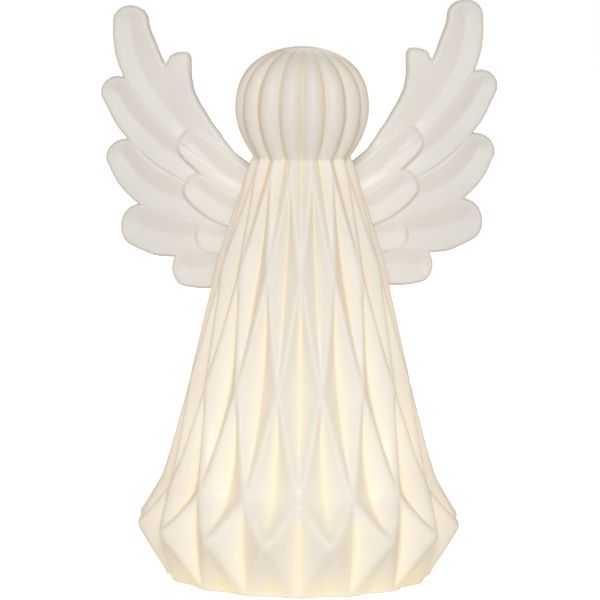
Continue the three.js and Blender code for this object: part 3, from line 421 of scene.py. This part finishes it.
def ring_radii(z, soft=1.0):
    """Radius all round at height z. Soft below 1 draws the nodes towards the valleys, as inside the cast."""
    if z <= NECK_HEIGHT:
        last = nodes[TOP, 0]
        lines = dress_lines(z) if z <= last else neck_lines((z - last) / (NECK_HEIGHT - last))
        whole, half, ridge, at = lines
        at = min(max(at, FOLD_EDGE), 0.5 - FOLD_EDGE)
        outer = np.interp(folded, [0.0, at, 0.5], [whole, ridge, half])
    else:
        share = min(1.0, (z - NECK_HEIGHT) / HEAD_HEIGHT)
        half = head_radius(share)
        groove = NECK_VALLEY + (HEAD_VALLEY - NECK_VALLEY) * min(1.0, share / HEAD_WIDEST)
        fade = min(1.0, half / (HEAD_RADIUS * POLE_FADE))
        whole = half * (1 + (groove - 1) * fade)
        outer = whole + (half - whole) * np.sin(math.pi * turn) ** LOBE_POWER
    inner = outer.min()
    return inner + (outer - inner) * soft


def even_heights(low, high, step):
    """Heights from low to high, evenly spaced along the profile."""
    skirt = np.linspace(low, min(high, NECK_HEIGHT), SKIRT_SAMPLES)
    crown = NECK_HEIGHT + HEAD_HEIGHT * np.sin(np.linspace(0, math.pi / 2, CROWN_SAMPLES)[1:]) ** CROWN_POWER
    fine = np.concatenate([skirt, crown[crown <= high]])
    radii = np.array([ring_radii(z).mean() for z in fine])
    along = np.concatenate([[0], np.cumsum(np.hypot(np.diff(fine), np.diff(radii)))])
    count = int(round(along[-1] / step)) + 1
    return np.interp(np.linspace(0, along[-1], count), along, fine)


def gaussian(reach, step, spread):
    weights = np.exp(-0.5 * (np.arange(-reach, reach + 1) * step / spread) ** 2)
    return weights / weights.sum()


def blur_round(grid, radii, spread):
    """Rounds the folds across: a Gaussian of the given spread in millimetres along each ring."""
    waves = np.fft.rfft(grid, axis=1)
    order = np.arange(waves.shape[1])[None, :]
    waves *= np.exp(-0.5 * (order * spread / np.maximum(radii, SMALLEST_RING)[:, None]) ** 2)
    return np.fft.irfft(waves, n=grid.shape[1], axis=1)


def blur_along(grid, step, spread):
    """Rounds the folds up and down: the same from ring to ring."""
    reach = int(math.ceil(BLUR_REACH * spread / step))
    before, after = 2 * grid[:1] - grid[1:reach + 1][::-1], 2 * grid[-1:] - grid[-reach - 1:-1][::-1]
    padded = np.concatenate([before, grid, after])
    return sum(w * padded[k:k + len(grid)] for k, w in enumerate(gaussian(reach, step, spread)))


def worn_skin(heights):
    """The outer skin, ring by ring: the glaze wears ridges and nodes round and leaves the valleys crisp."""
    sharp = np.array([ring_radii(z) for z in heights])
    mean = sharp.mean(1)
    ridge_round = np.interp(heights, *zip(*RIDGE_ROUND))[:, None]
    worn = blur_along(blur_round(sharp, mean, ridge_round), OUTER_STEP, RIDGE_PROFILE)
    worn = np.where(heights[:, None] < NECK_HEIGHT - COLLAR, np.minimum(sharp, worn + WEAR), sharp)
    worn = blur_along(blur_round(worn, mean, FOLD_ROUND), OUTER_STEP, PROFILE_ROUND)
    return np.minimum(worn, sharp.max(1)[:, None]), mean


def inner_wall(heights):
    """The inside of the cast, softer than its outside, closing under the crown."""
    rings = np.array([ring_radii(z, INNER_FOLD) for z in heights])
    rings = blur_round(rings, rings.mean(1), INNER_ROUND) - WALL
    shrink = np.clip((NECK_HEIGHT + HEAD_HEIGHT - WALL - heights) / INNER_CAP, 0, 1)[:, None] ** 0.5
    return np.maximum(rings * shrink, INNER_POLE)


def figure_piece():
    """The hollow figure: underside and skin, then the inner wall down to the light unit's bore and recess."""
    outer_z = even_heights(FOOT_TURN, NECK_HEIGHT + HEAD_HEIGHT * NEAR_POLE, OUTER_STEP)
    inner_z = even_heights(LIP_TOP, NECK_HEIGHT + (HEAD_HEIGHT - WALL) * INNER_NEAR_POLE, INNER_STEP)
    outer, mean = worn_skin(outer_z)
    inner = inner_wall(inner_z)
    foot, even = outer[:1], np.ones((1, COLUMNS))
    mouth = (even * (RECESS_RADIUS + RECESS_EASE), [0.0])
    underside = [
        mouth, (even * (RECESS_RADIUS + RECESS_EASE + FLAT_EDGE), [0.0]),
        (foot - FOOT_TURN - FLAT_EDGE, [0.0]), (foot - FOOT_TURN, [0.0]),
        *((foot - back, [up]) for back, up in FOOT_ROUND),
    ]
    above = [
        (outer, outer_z), (even * 0, outer_z[-1:]),
        (even * 0, inner_z[-1:]), (inner[::-1], inner_z[::-1]),
    ]
    bore = [
        ((inner[:1] + BORE_RADIUS) / 2, [LIP_TOP]), (even * (BORE_RADIUS + LIP_EASE), [LIP_TOP]),
        (even * BORE_RADIUS, [LIP_TOP - LIP_EASE]), (even * BORE_RADIUS, [RECESS_TOP + BORE_EASE]),
        (even * (BORE_RADIUS + BORE_EASE), [RECESS_TOP]), (even * RECESS_RADIUS, [RECESS_TOP]),
        (even * RECESS_RADIUS, [RECESS_EASE]), mouth,
    ]
    sections = underside + above + bore
    radii = np.concatenate([rings for rings, _ in sections])
    heights = np.concatenate([levels for _, levels in sections])
    # How thin the wall is, as seen by the light inside: 1 in a valley, near 0 at a node
    inside = blur_round(np.array([ring_radii(z, INNER_FOLD) for z in outer_z]) - WALL, mean, INNER_ROUND)
    thick = np.clip(outer - inside - WALL, 0, None)
    thin, first = np.zeros(radii.shape), len(underside)
    thin[:first] = FOOT_THIN
    thin[first:first + len(outer)] = np.exp(-thick / GLOW_DEPTH)
    # One fold is enough, from the front round: the geometry nodes repeat it
    fold = slice(0, FOLD_COLUMNS + 1)
    angles = np.arange(FOLD_COLUMNS + 1) / COLUMNS * 2 * math.pi - math.pi / 2
    strip = strip_mesh("fold", radii[:, fold], heights, angles)
    layer = strip.attributes.new("thin", "FLOAT", "POINT")
    layer.data.foreach_set("value", thin[:, fold].reshape(-1).astype(np.float32))
    mesh = repeated_round(strip, FOLDS, figure_glaze)
    link("angel_glaze", mesh, figure_glaze, "angel_figure", "porcelain_figure")


figure_piece()

# Wings, in millimetres, with the same feathers as the solid. A station is [out, up, above, below]: how far
# out the spine runs and its half widths on both sides, of the reach, and how far up it runs, of the rise.
REACH, RISE, WING_TOP, SWEEP, SET_BACK = 85.6, 124.0, 250.0, 0.21, 9.0
RIM, VALLEY, PIVOT_HEIGHT, LEAN = 3.2, 1.0, 160.0, math.radians(1.5)
CELL, OUT_SPAN, UP_SPAN, SPINE_SAMPLES, SMALLEST_GAP = 0.5, (4, 93), (118, 258), 240, 1e-4
EDGE_ROUND, RELIEF_ROUND, LAST_ROUND, BLUR_CELLS = 2.0, 0.45, 0.35, 3
COVERT_LIFT, COVERT_RIM, COVERT_ROUND, STRAIGHT_SHARE = 1.5, 0.9, 1.6, 0.6
ROOT_DEPTH, FREE_FROM, ROOT_COVER = 3.2, 2.6, 1.2
EDGE_BAND, FAR_FROM_EDGE, NEAREST_EDGE, EDGE_SLACK, BAND_PARTS = 5, 9.0, 0.05, 1.3, 12
FEATHERS = [
    [[0.1, 0.286, 0.08, 0.08], [0.397, 0.438, 0.08, 0.055], [0.593, 0.561, 0.099, 0.078],
     [0.67, 0.628, 0.11, 0.088], [0.736, 0.69, 0.12, 0.094], [0.797, 0.765, 0.12, 0.105],
     [0.832, 0.838, 0.115, 0.106], [0.852, 0.914, 0.097, 0.094], [0.847, 0.996, 0.082, 0.084]],
    [[0.397, 0.438, 0.08, 0.05], [0.48, 0.508, 0.09, 0.07], [0.545, 0.598, 0.075, 0.1],
     [0.572, 0.683, 0.042, 0.12], [0.577, 0.753, 0.03, 0.13], [0.574, 0.832, 0.028, 0.064]],
    [[0.1, 0.22, 0.08, 0.09], [0.508, 0.397, 0.08, 0.086], [0.624, 0.457, 0.074, 0.1],
     [0.69, 0.488, 0.086, 0.1], [0.772, 0.541, 0.094, 0.102], [0.853, 0.605, 0.094, 0.1],
     [0.914, 0.671, 0.086, 0.088], [0.97, 0.737, 0.08, 0.08]],
    [[0.1, 0.185, 0.09, 0.096], [0.457, 0.28, 0.09, 0.1], [0.589, 0.303, 0.095, 0.1],
     [0.68, 0.323, 0.108, 0.106], [0.767, 0.354, 0.108, 0.118], [0.848, 0.406, 0.102, 0.112],
     [0.905, 0.462, 0.09, 0.096], [0.957, 0.506, 0.074, 0.08]],
    [[0.1, 0.152, 0.09, 0.1], [0.402, 0.168, 0.08, 0.084], [0.544, 0.178, 0.086, 0.092],
     [0.624, 0.178, 0.102, 0.116], [0.722, 0.189, 0.118, 0.13], [0.818, 0.213, 0.108, 0.124],
     [0.918, 0.24, 0.094, 0.102]],
    [[0.1, 0.08, 0.1, 0.12], [0.357, 0.074, 0.1, 0.12], [0.457, 0.066, 0.106, 0.115],
     [0.528, 0.06, 0.11, 0.11], [0.594, 0.06, 0.1, 0.098], [0.666, 0.07, 0.08, 0.074]],
]
# The spur, second above, has no groove of its own: the first feather's groove widens into it
WIDENED = [
    [0.1, 0.286, 0.08, 0.08], [0.397, 0.438, 0.09, 0.055], [0.593, 0.561, 0.12, 0.078],
    [0.67, 0.628, 0.15, 0.088], [0.736, 0.69, 0.18, 0.094], [0.797, 0.765, 0.2, 0.105],
    [0.832, 0.838, 0.14, 0.106], [0.852, 0.914, 0.097, 0.094], [0.847, 0.996, 0.082, 0.084]]
# Short feathers over the long ones' roots, each with the share of the lift that it gets
COVERTS = [
    (1.0, [[0.12, 0.3, 0.08, 0.078], [0.336, 0.378, 0.1, 0.072], [0.402, 0.406, 0.106, 0.076],
           [0.457, 0.445, 0.1, 0.09], [0.523, 0.494, 0.078, 0.096], [0.594, 0.54, 0.062, 0.082]]),
    (1.0, [[0.12, 0.225, 0.1, 0.1], [0.352, 0.271, 0.09, 0.096], [0.412, 0.292, 0.09, 0.1],
           [0.478, 0.326, 0.082, 0.1], [0.523, 0.354, 0.072, 0.092], [0.57, 0.382, 0.062, 0.076]]),
    (0.3, [[0.12, 0.168, 0.09, 0.1], [0.38, 0.172, 0.086, 0.1], [0.457, 0.174, 0.082, 0.096],
           [0.54, 0.176, 0.074, 0.084]]),
]
# The figure's valleys behind the wings' roots
ROOTS_FROM, ROOT_SAMPLES = 100, 60
VALLEY_HEIGHTS = np.linspace(ROOTS_FROM, NECK_HEIGHT, ROOT_SAMPLES)
VALLEY_RADII = np.array([ring_radii(z).min() for z in VALLEY_HEIGHTS])


def spline(points, t):
    """Centripetal curve through the points, as the solid's, at t from 0 to 1."""
    p = np.array(points, float)
    p = np.concatenate([2 * p[:1] - p[1:2], p, 2 * p[-1:] - p[-2:-1]])
    place = np.clip(t, 0, 1) * (len(points) - 1)
    k = np.minimum(place.astype(int), len(points) - 2)
    w = (place - k)[:, None]
    a, b, c, d = p[k], p[k + 1], p[k + 2], p[k + 3]
    gaps = (np.linalg.norm(end - start, axis=1, keepdims=True) for start, end in ((a, b), (b, c), (c, d)))
    da, db, dc = (np.maximum(gap ** 0.5, SMALLEST_GAP) for gap in gaps)
    t0 = ((b - a) / da - (c - a) / (da + db) + (c - b) / db) * db
    t1 = ((c - b) / db - (d - b) / (db + dc) + (d - c) / dc) * db
    return b + t0 * w + (-3 * b + 3 * c - 2 * t0 - t1) * w ** 2 + (2 * b - 2 * c + t0 + t1) * w ** 3


def feather_field(stations, points):
    """How far across the feather points of the flat wing lie, 0 on its spine and 1 at its edge, and how many
    millimetres are left to the edge."""
    table, t = np.array(stations), np.linspace(0, 1, SPINE_SAMPLES)
    flat = table[:, :2] * [REACH, RISE] + [0, WING_TOP - RISE]
    line = spline(flat, t)
    above, below = (np.interp(t, np.linspace(0, 1, len(table)), table[:, k]) * REACH for k in (2, 3))
    along = np.concatenate([[0], np.cumsum(np.hypot(*np.diff(line, axis=0).T))])
    tip = (above[-1] + below[-1]) / 2
    last = int(np.searchsorted(along, along[-1] - tip))
    tangent = np.gradient(line, axis=0)
    tangent /= np.linalg.norm(tangent, axis=1, keepdims=True)
    near = sum((points[:, None, k] - line[None, :last + 1, k]) ** 2 for k in (0, 1)).argmin(1)
    off, way = points - line[near], tangent[near]
    across = off[:, 1] * way[:, 0] - off[:, 0] * way[:, 1]
    beyond = np.where(near == last, np.maximum((off * way).sum(1), 0), 0)
    width = np.where(across > 0, above[near], below[near])
    ratio = np.hypot(across / width, beyond / tip)
    return ratio, (1 - ratio) * width


def blur_grid(grid, spread):
    weights = gaussian(BLUR_CELLS, CELL, spread)
    for axis, margin in enumerate(([(BLUR_CELLS, BLUR_CELLS), (0, 0)], [(0, 0), (BLUR_CELLS, BLUR_CELLS)])):
        padded, cells = np.pad(grid, margin, mode="edge"), np.arange(grid.shape[axis])
        grid = sum(w * np.take(padded, cells + k, axis) for k, w in enumerate(weights))
    return grid


def rounded(depth, radius):
    return np.sqrt(1 - (1 - np.clip(depth / radius, 0, 1)) ** 2)


def channel(across):
    """How a feather rises from its spine to its edge: partly straight and partly rounded."""
    swell = np.minimum(across, 1)
    return STRAIGHT_SHARE * swell + (1 - STRAIGHT_SHARE) * np.sin(swell * math.pi / 2)


def onto_wing(flat, thick, side):
    """Points of the flat wing carried onto the swept plane behind the figure, and leaned with the pair."""
    x = side * (flat[:, 0] + thick * math.sin(SWEEP))
    y = SET_BACK + flat[:, 0] * math.tan(SWEEP) - thick * math.cos(SWEEP)
    rise = flat[:, 1] - PIVOT_HEIGHT
    return np.stack([x * math.cos(LEAN) - rise * math.sin(LEAN), y,
                     PIVOT_HEIGHT + x * math.sin(LEAN) + rise * math.cos(LEAN)], -1)


def clear_of_figure(points):
    """How far the points lie outside the figure's valleys, in millimetres."""
    return np.hypot(points[:, 0], points[:, 1]) - np.interp(points[:, 2], VALLEY_HEIGHTS, VALLEY_RADII)


def drawn_within(verts, node):
    """Draws the wing in to the solid's box: the solid's tips are flat facets a little inside the curve."""
    root = np.array([0, SET_BACK, PIVOT_HEIGHT])
    for limit, pick in zip(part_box(node), (np.min, np.max)):
        reach, allowed = pick(verts, 0) - root, np.array(limit) / MM - root
        share = np.where(np.abs(reach) > np.abs(allowed), allowed / reach, 1)
        verts = root + (verts - root) * np.where((verts - root) * reach > 0, share, 1)
    return verts


def cut_cells(inside, out, up):
    """Faces of the grid where the field is above 0, cut along its zero line, and their points."""
    sure = inside > 0
    ids = np.full(inside.shape, -1)
    ids[sure] = np.arange(sure.sum())
    points = np.stack([out[sure], up[sure]], -1).tolist()
    crossings, faces = {}, []
    corners = ((0, 0), (1, 0), (1, 1), (0, 1))
    many = sum(sure[a:sure.shape[0] - 1 + a, b:sure.shape[1] - 1 + b].astype(int) for a, b in corners)
    for i, j in np.argwhere(many > 0).tolist():
        loop = []
        for k in range(4):
            here, there = ((i + a, j + b) for a, b in (corners[k], corners[(k + 1) % 4]))
            if sure[here]:
                loop.append(int(ids[here]))
            if sure[here] != sure[there]:
                key = (min(here, there), max(here, there))
                if key not in crossings:
                    crossings[key] = len(points)
                    low, high = inside[key[0]], inside[key[1]]
                    share = low / (low - high)
                    points.append([o[key[0]] + (o[key[1]] - o[key[0]]) * share for o in (out, up)])
                loop.append(crossings[key])
        faces.append(loop)
    return np.array(points), faces, int(sure.sum())


def wing_relief(flat, across):
    """How thick the wing is on each side of its middle: channelled feathers, with coverts raised on them."""
    relief = blur_grid(VALLEY + (RIM - VALLEY) * channel(across), RELIEF_ROUND)
    for lift, stations in COVERTS:
        ratio, depth = (f.reshape(across.shape) for f in feather_field(stations, flat))
        layer = VALLEY + COVERT_LIFT * lift + (RIM - VALLEY) * COVERT_RIM * channel(ratio)
        layer = np.where(depth > 0, blur_grid(layer, RELIEF_ROUND) * rounded(depth, COVERT_ROUND), 0)
        relief = np.maximum(relief, layer)
    return blur_grid(relief, LAST_ROUND)


def edge_depth(points, inside, rim, side):
    """How far the points lie from the wing's free edge, which leaves out the cut at the figure."""
    free = rim[clear_of_figure(onto_wing(rim, 0 * rim[:, 0], side)) > -FREE_FROM]
    depth = np.full(len(points), FAR_FROM_EDGE)
    for part in np.array_split(np.flatnonzero(inside < EDGE_BAND), BAND_PARTS):
        gaps = points[part][:, None] - free[None]
        depth[part] = np.sqrt((gaps ** 2).sum(-1).min(1))
    return np.minimum(depth, np.maximum(inside, NEAREST_EDGE) * EDGE_SLACK)


def wing_piece(name, side, node):
    out, up = np.meshgrid(np.arange(*OUT_SPAN, CELL), np.arange(*UP_SPAN, CELL), indexing="ij")
    flat = np.stack([out.ravel(), up.ravel()], -1)
    fields = [feather_field(feather, flat) for feather in FEATHERS]
    grooves = [feather_field(WIDENED, flat), *fields[2:]]
    across = np.min([ratio for ratio, _ in grooves], 0).reshape(out.shape)
    edge = np.max([left for _, left in fields], 0)
    root = clear_of_figure(onto_wing(flat, 0 * edge, side)) + ROOT_DEPTH
    inside = np.minimum(edge, root).reshape(out.shape)
    points, faces, count = cut_cells(inside, out, up)
    within, rim = inside[inside > 0], points[count:]
    relief = wing_relief(flat, across)[inside > 0]
    thick = relief * rounded(edge_depth(points[:count], within, rim, side), EDGE_ROUND)
    front = onto_wing(points, np.concatenate([thick, np.zeros(len(rim))]), side)
    back = onto_wing(points[:count], -thick, side)
    verts = drawn_within(np.concatenate([front, back]), node)
    # No point sinks deeper into the figure than its wall covers
    radius = np.hypot(verts[:, 0], verts[:, 1])
    least = np.interp(verts[:, 2], VALLEY_HEIGHTS, VALLEY_RADII) - ROOT_COVER
    verts[:, :2] *= np.maximum(1, least / np.maximum(radius, 1))[:, None]
    # The back shares the rim's points with the front
    behind = [[v + len(points) if v < count else v for v in loop][::-1] for loop in faces]
    mesh = bpy.data.meshes.new(name)
    mesh.from_pydata((verts * MM).tolist(), [], faces + behind)
    link(name, mended(mesh, WING_MEETING), wing_glaze, "angel_figure", node)


wing_piece("wing_left_cast", -1, "wing_left")
wing_piece("wing_right_cast", 1, "wing_right")

# The light unit, in millimetres
DOME_STRAIGHT, DOME_WALL, DOME_LAP, DOME_EASE, DOME_SIDES, DOME_RINGS = 9.0, 1.6, 0.3, 0.2, 96, 25
EDGE_EASE, EDGE_SEGMENTS, ROUND_PROFILE, SMALLEST_EDGE = 0.25, 2, 0.5, 0.003
FLAT_WITHIN, EASED_FROM, SMOOTH_WITHIN = math.radians(0.5), math.radians(50), math.radians(35)
MOULDED = {
    "lower_housing": ("light_unit", white), "housing_cover": ("light_unit", white),
    "grip_ring": ("light_unit", silicone), "battery_door": ("door", white),
    "switch_knob": ("switch_slide", black),
}
DRESSED = {
    "timer_chip": black, "led_board": board, "switch_body": steel,
    "lead_positive": red_sleeve, "lead_negative": black, "lead_switched": black,
}


def dome_piece():
    """The frosted dome over the lamps, turned smooth: a straight collar and a round top, open below."""
    low, high = (np.array(corner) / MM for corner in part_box("diffuser"))
    radius, bottom, top = high[0], low[2], high[2]
    bend, rise = bottom + DOME_STRAIGHT, np.linspace(0, math.pi / 2, DOME_RINGS)
    outside, inside = (
        np.stack([(radius - wall) * np.cos(rise), bend + (top - wall - bend) * np.sin(rise)], -1)
        for wall in (0, DOME_WALL))
    bore = radius - DOME_WALL
    foot = [
        [bore, bend - DOME_LAP], [bore, bottom + DOME_EASE], [bore + DOME_EASE, bottom],
        [radius - DOME_EASE, bottom], [radius, bottom + DOME_EASE], [radius, bend - DOME_LAP],
    ]
    profile = np.concatenate([inside[::-1], foot, outside])
    strip = strip_mesh("side", profile[:, :1], profile[:, 1], np.array([0, 2 * math.pi / DOME_SIDES]))
    mesh = repeated_round(strip, DOME_SIDES, frosted)
    link("diffuser_dome", mesh, frosted, "light_unit", "diffuser")


def moulded(node, body, material):
    """A copy of a moulded piece with its edges eased and its round walls shaded as one."""
    bm = bmesh.new()
    bm.from_mesh(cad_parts[node].data)
    bmesh.ops.remove_doubles(bm, verts=bm.verts, dist=MEETING)
    bmesh.ops.dissolve_limit(bm, angle_limit=FLAT_WITHIN, verts=bm.verts, edges=bm.edges)
    sharp = [edge for edge in bm.edges if edge.calc_face_angle(0) > EASED_FROM]
    bmesh.ops.bevel(bm, geom=sharp, offset=EDGE_EASE * MM, segments=EDGE_SEGMENTS, profile=ROUND_PROFILE,
                    affect="EDGES", clamp_overlap=True)
    bmesh.ops.dissolve_degenerate(bm, dist=SMALLEST_EDGE * MM, edges=bm.edges)
    for face in bm.faces:
        face.smooth = True
    for edge in bm.edges:
        edge.smooth = edge.calc_face_angle(0) < SMOOTH_WITHIN
    mesh = bpy.data.meshes.new(node + "_moulding")
    bm.to_mesh(mesh)
    bm.free()
    link(node + "_moulding", mesh, material, body, node)


def finish_of(node):
    """What a solid that shows itself is made of: steel, unless it is a lamp, a cell or one of the dressed."""
    if node in DRESSED:
        return DRESSED[node]
    if node.startswith("battery_"):
        return jacket
    return resin if node.startswith("led_") else steel


dome_piece()
for name, (body, material) in MOULDED.items():
    moulded(name, body, material)
for name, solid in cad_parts.items():
    if name not in ("porcelain_figure", "wing_left", "wing_right", "diffuser", *MOULDED):
        solid.data.materials.clear()
        solid.data.materials.append(finish_of(name))

# Camera: fitted to the places of the fold nodes in the photograph
CAMERA_ASIDE, CAMERA_BACK, CAMERA_HEIGHT, LOOK_HEIGHT = -0.0002, 1.812, 0.3537, 0.1208
ROLL, HALF_VIEW, CLIP_NEAR, CLIP_FAR = math.radians(0.5), 300 / 4200, 0.05, 20
lens = bpy.data.cameras.new("camera")
camera = bpy.data.objects.new("camera", lens)
bpy.context.scene.collection.objects.link(camera)
bpy.context.scene.camera = camera
lens.sensor_fit, lens.angle = "HORIZONTAL", 2 * math.atan(HALF_VIEW)
lens.clip_start, lens.clip_end = CLIP_NEAR, CLIP_FAR
pitch = math.atan2(CAMERA_HEIGHT - LOOK_HEIGHT, CAMERA_BACK)
turned = Euler((math.pi / 2 - pitch, 0, 0)).to_matrix() @ Matrix.Rotation(ROLL, 3, "Z")
camera.matrix_world = Matrix.Translation((CAMERA_ASIDE, -CAMERA_BACK, CAMERA_HEIGHT)) @ turned.to_4x4()

# Lamps: name, place in metres, watts and colour. All are round and look at the figure's middle.
LAMP_SIZE, MIDDLE = 1.0, Vector((0, 0, 0.12))
WHITE_LIGHT, WARM_LIGHT = (1, 1, 1), (1.0, 0.5, 0.11)
LAMPS = [
    ("front", (0.0, -2.5, 1.7), 36, WHITE_LIGHT), ("low", (0.0, -2.6, 0.5), 13, WHITE_LIGHT),
    ("back", (0.2, 2.0, 1.4), 8, WHITE_LIGHT),
    ("warm_left", (-2.2, 0.2, 0.35), 7, WARM_LIGHT), ("warm_right", (2.2, 0.2, 0.35), 7, WARM_LIGHT),
]
for name, place, watts, colour in LAMPS:
    light = bpy.data.lights.new(name, "AREA")
    light.shape, light.size, light.energy, light.color = "DISK", LAMP_SIZE, watts, colour
    lamp = bpy.data.objects.new(name, light)
    bpy.context.scene.collection.objects.link(lamp)
    lamp.location = place
    lamp.rotation_euler = (MIDDLE - Vector(place)).to_track_quat("-Z", "Y").to_euler()

# Floor: pale near the figure, and lit up to the background's white where the camera sees it further out
FLOOR_HALF, FLOOR_TONE, FLOOR_ROUGH, FLOOR_LIFT = 3, (0.78, 0.78, 0.77), 0.9, (0.12, 0.5, 0.75, 1.0)
floor_mesh = bpy.data.meshes.new("floor")
corners = [(x * FLOOR_HALF, y * FLOOR_HALF, 0) for x, y in ((-1, -1), (1, -1), (1, 1), (-1, 1))]
floor_mesh.from_pydata(corners, [], [(0, 1, 2, 3)])
floor = bpy.data.objects.new("floor", floor_mesh)
bpy.context.scene.collection.objects.link(floor)
paper = Finish("pale_floor", Base_Color=FLOOR_TONE, Roughness=FLOOR_ROUGH)
further = paper.ramp(paper.length(paper.place), *FLOOR_LIFT)
lift = paper.add("ShaderNodeEmission", {}, {
    "Strength": paper.seen_by("Camera", "Glossy", "Transmission") * further})
surface = next(node for node in paper.tree.nodes if node.type == "OUTPUT_MATERIAL").inputs["Surface"]
paper.put(paper.add("ShaderNodeAddShader", {}, {0: Value(paper, paper.shader.outputs[0]), 1: lift}), surface)
floor_mesh.materials.append(paper.material)

# Background: white to the camera, and a dimmer white light to all else
BACKGROUND_LIGHT = 0.24
world = bpy.data.worlds.new("studio")
bpy.context.scene.world = world
world.use_nodes = True
sky, background = Tree(world.node_tree), world.node_tree.nodes["Background"]
sky.put(WHITE_LIGHT, background.inputs["Color"])
sky.put(sky.add("ShaderNodeMapRange", {}, {
    "Value": sky.seen_by("Camera", "Transmission"), "To Min": BACKGROUND_LIGHT, "To Max": 1.0}),
    background.inputs["Strength"])

bpy.context.scene.view_settings.view_transform = "Standard"
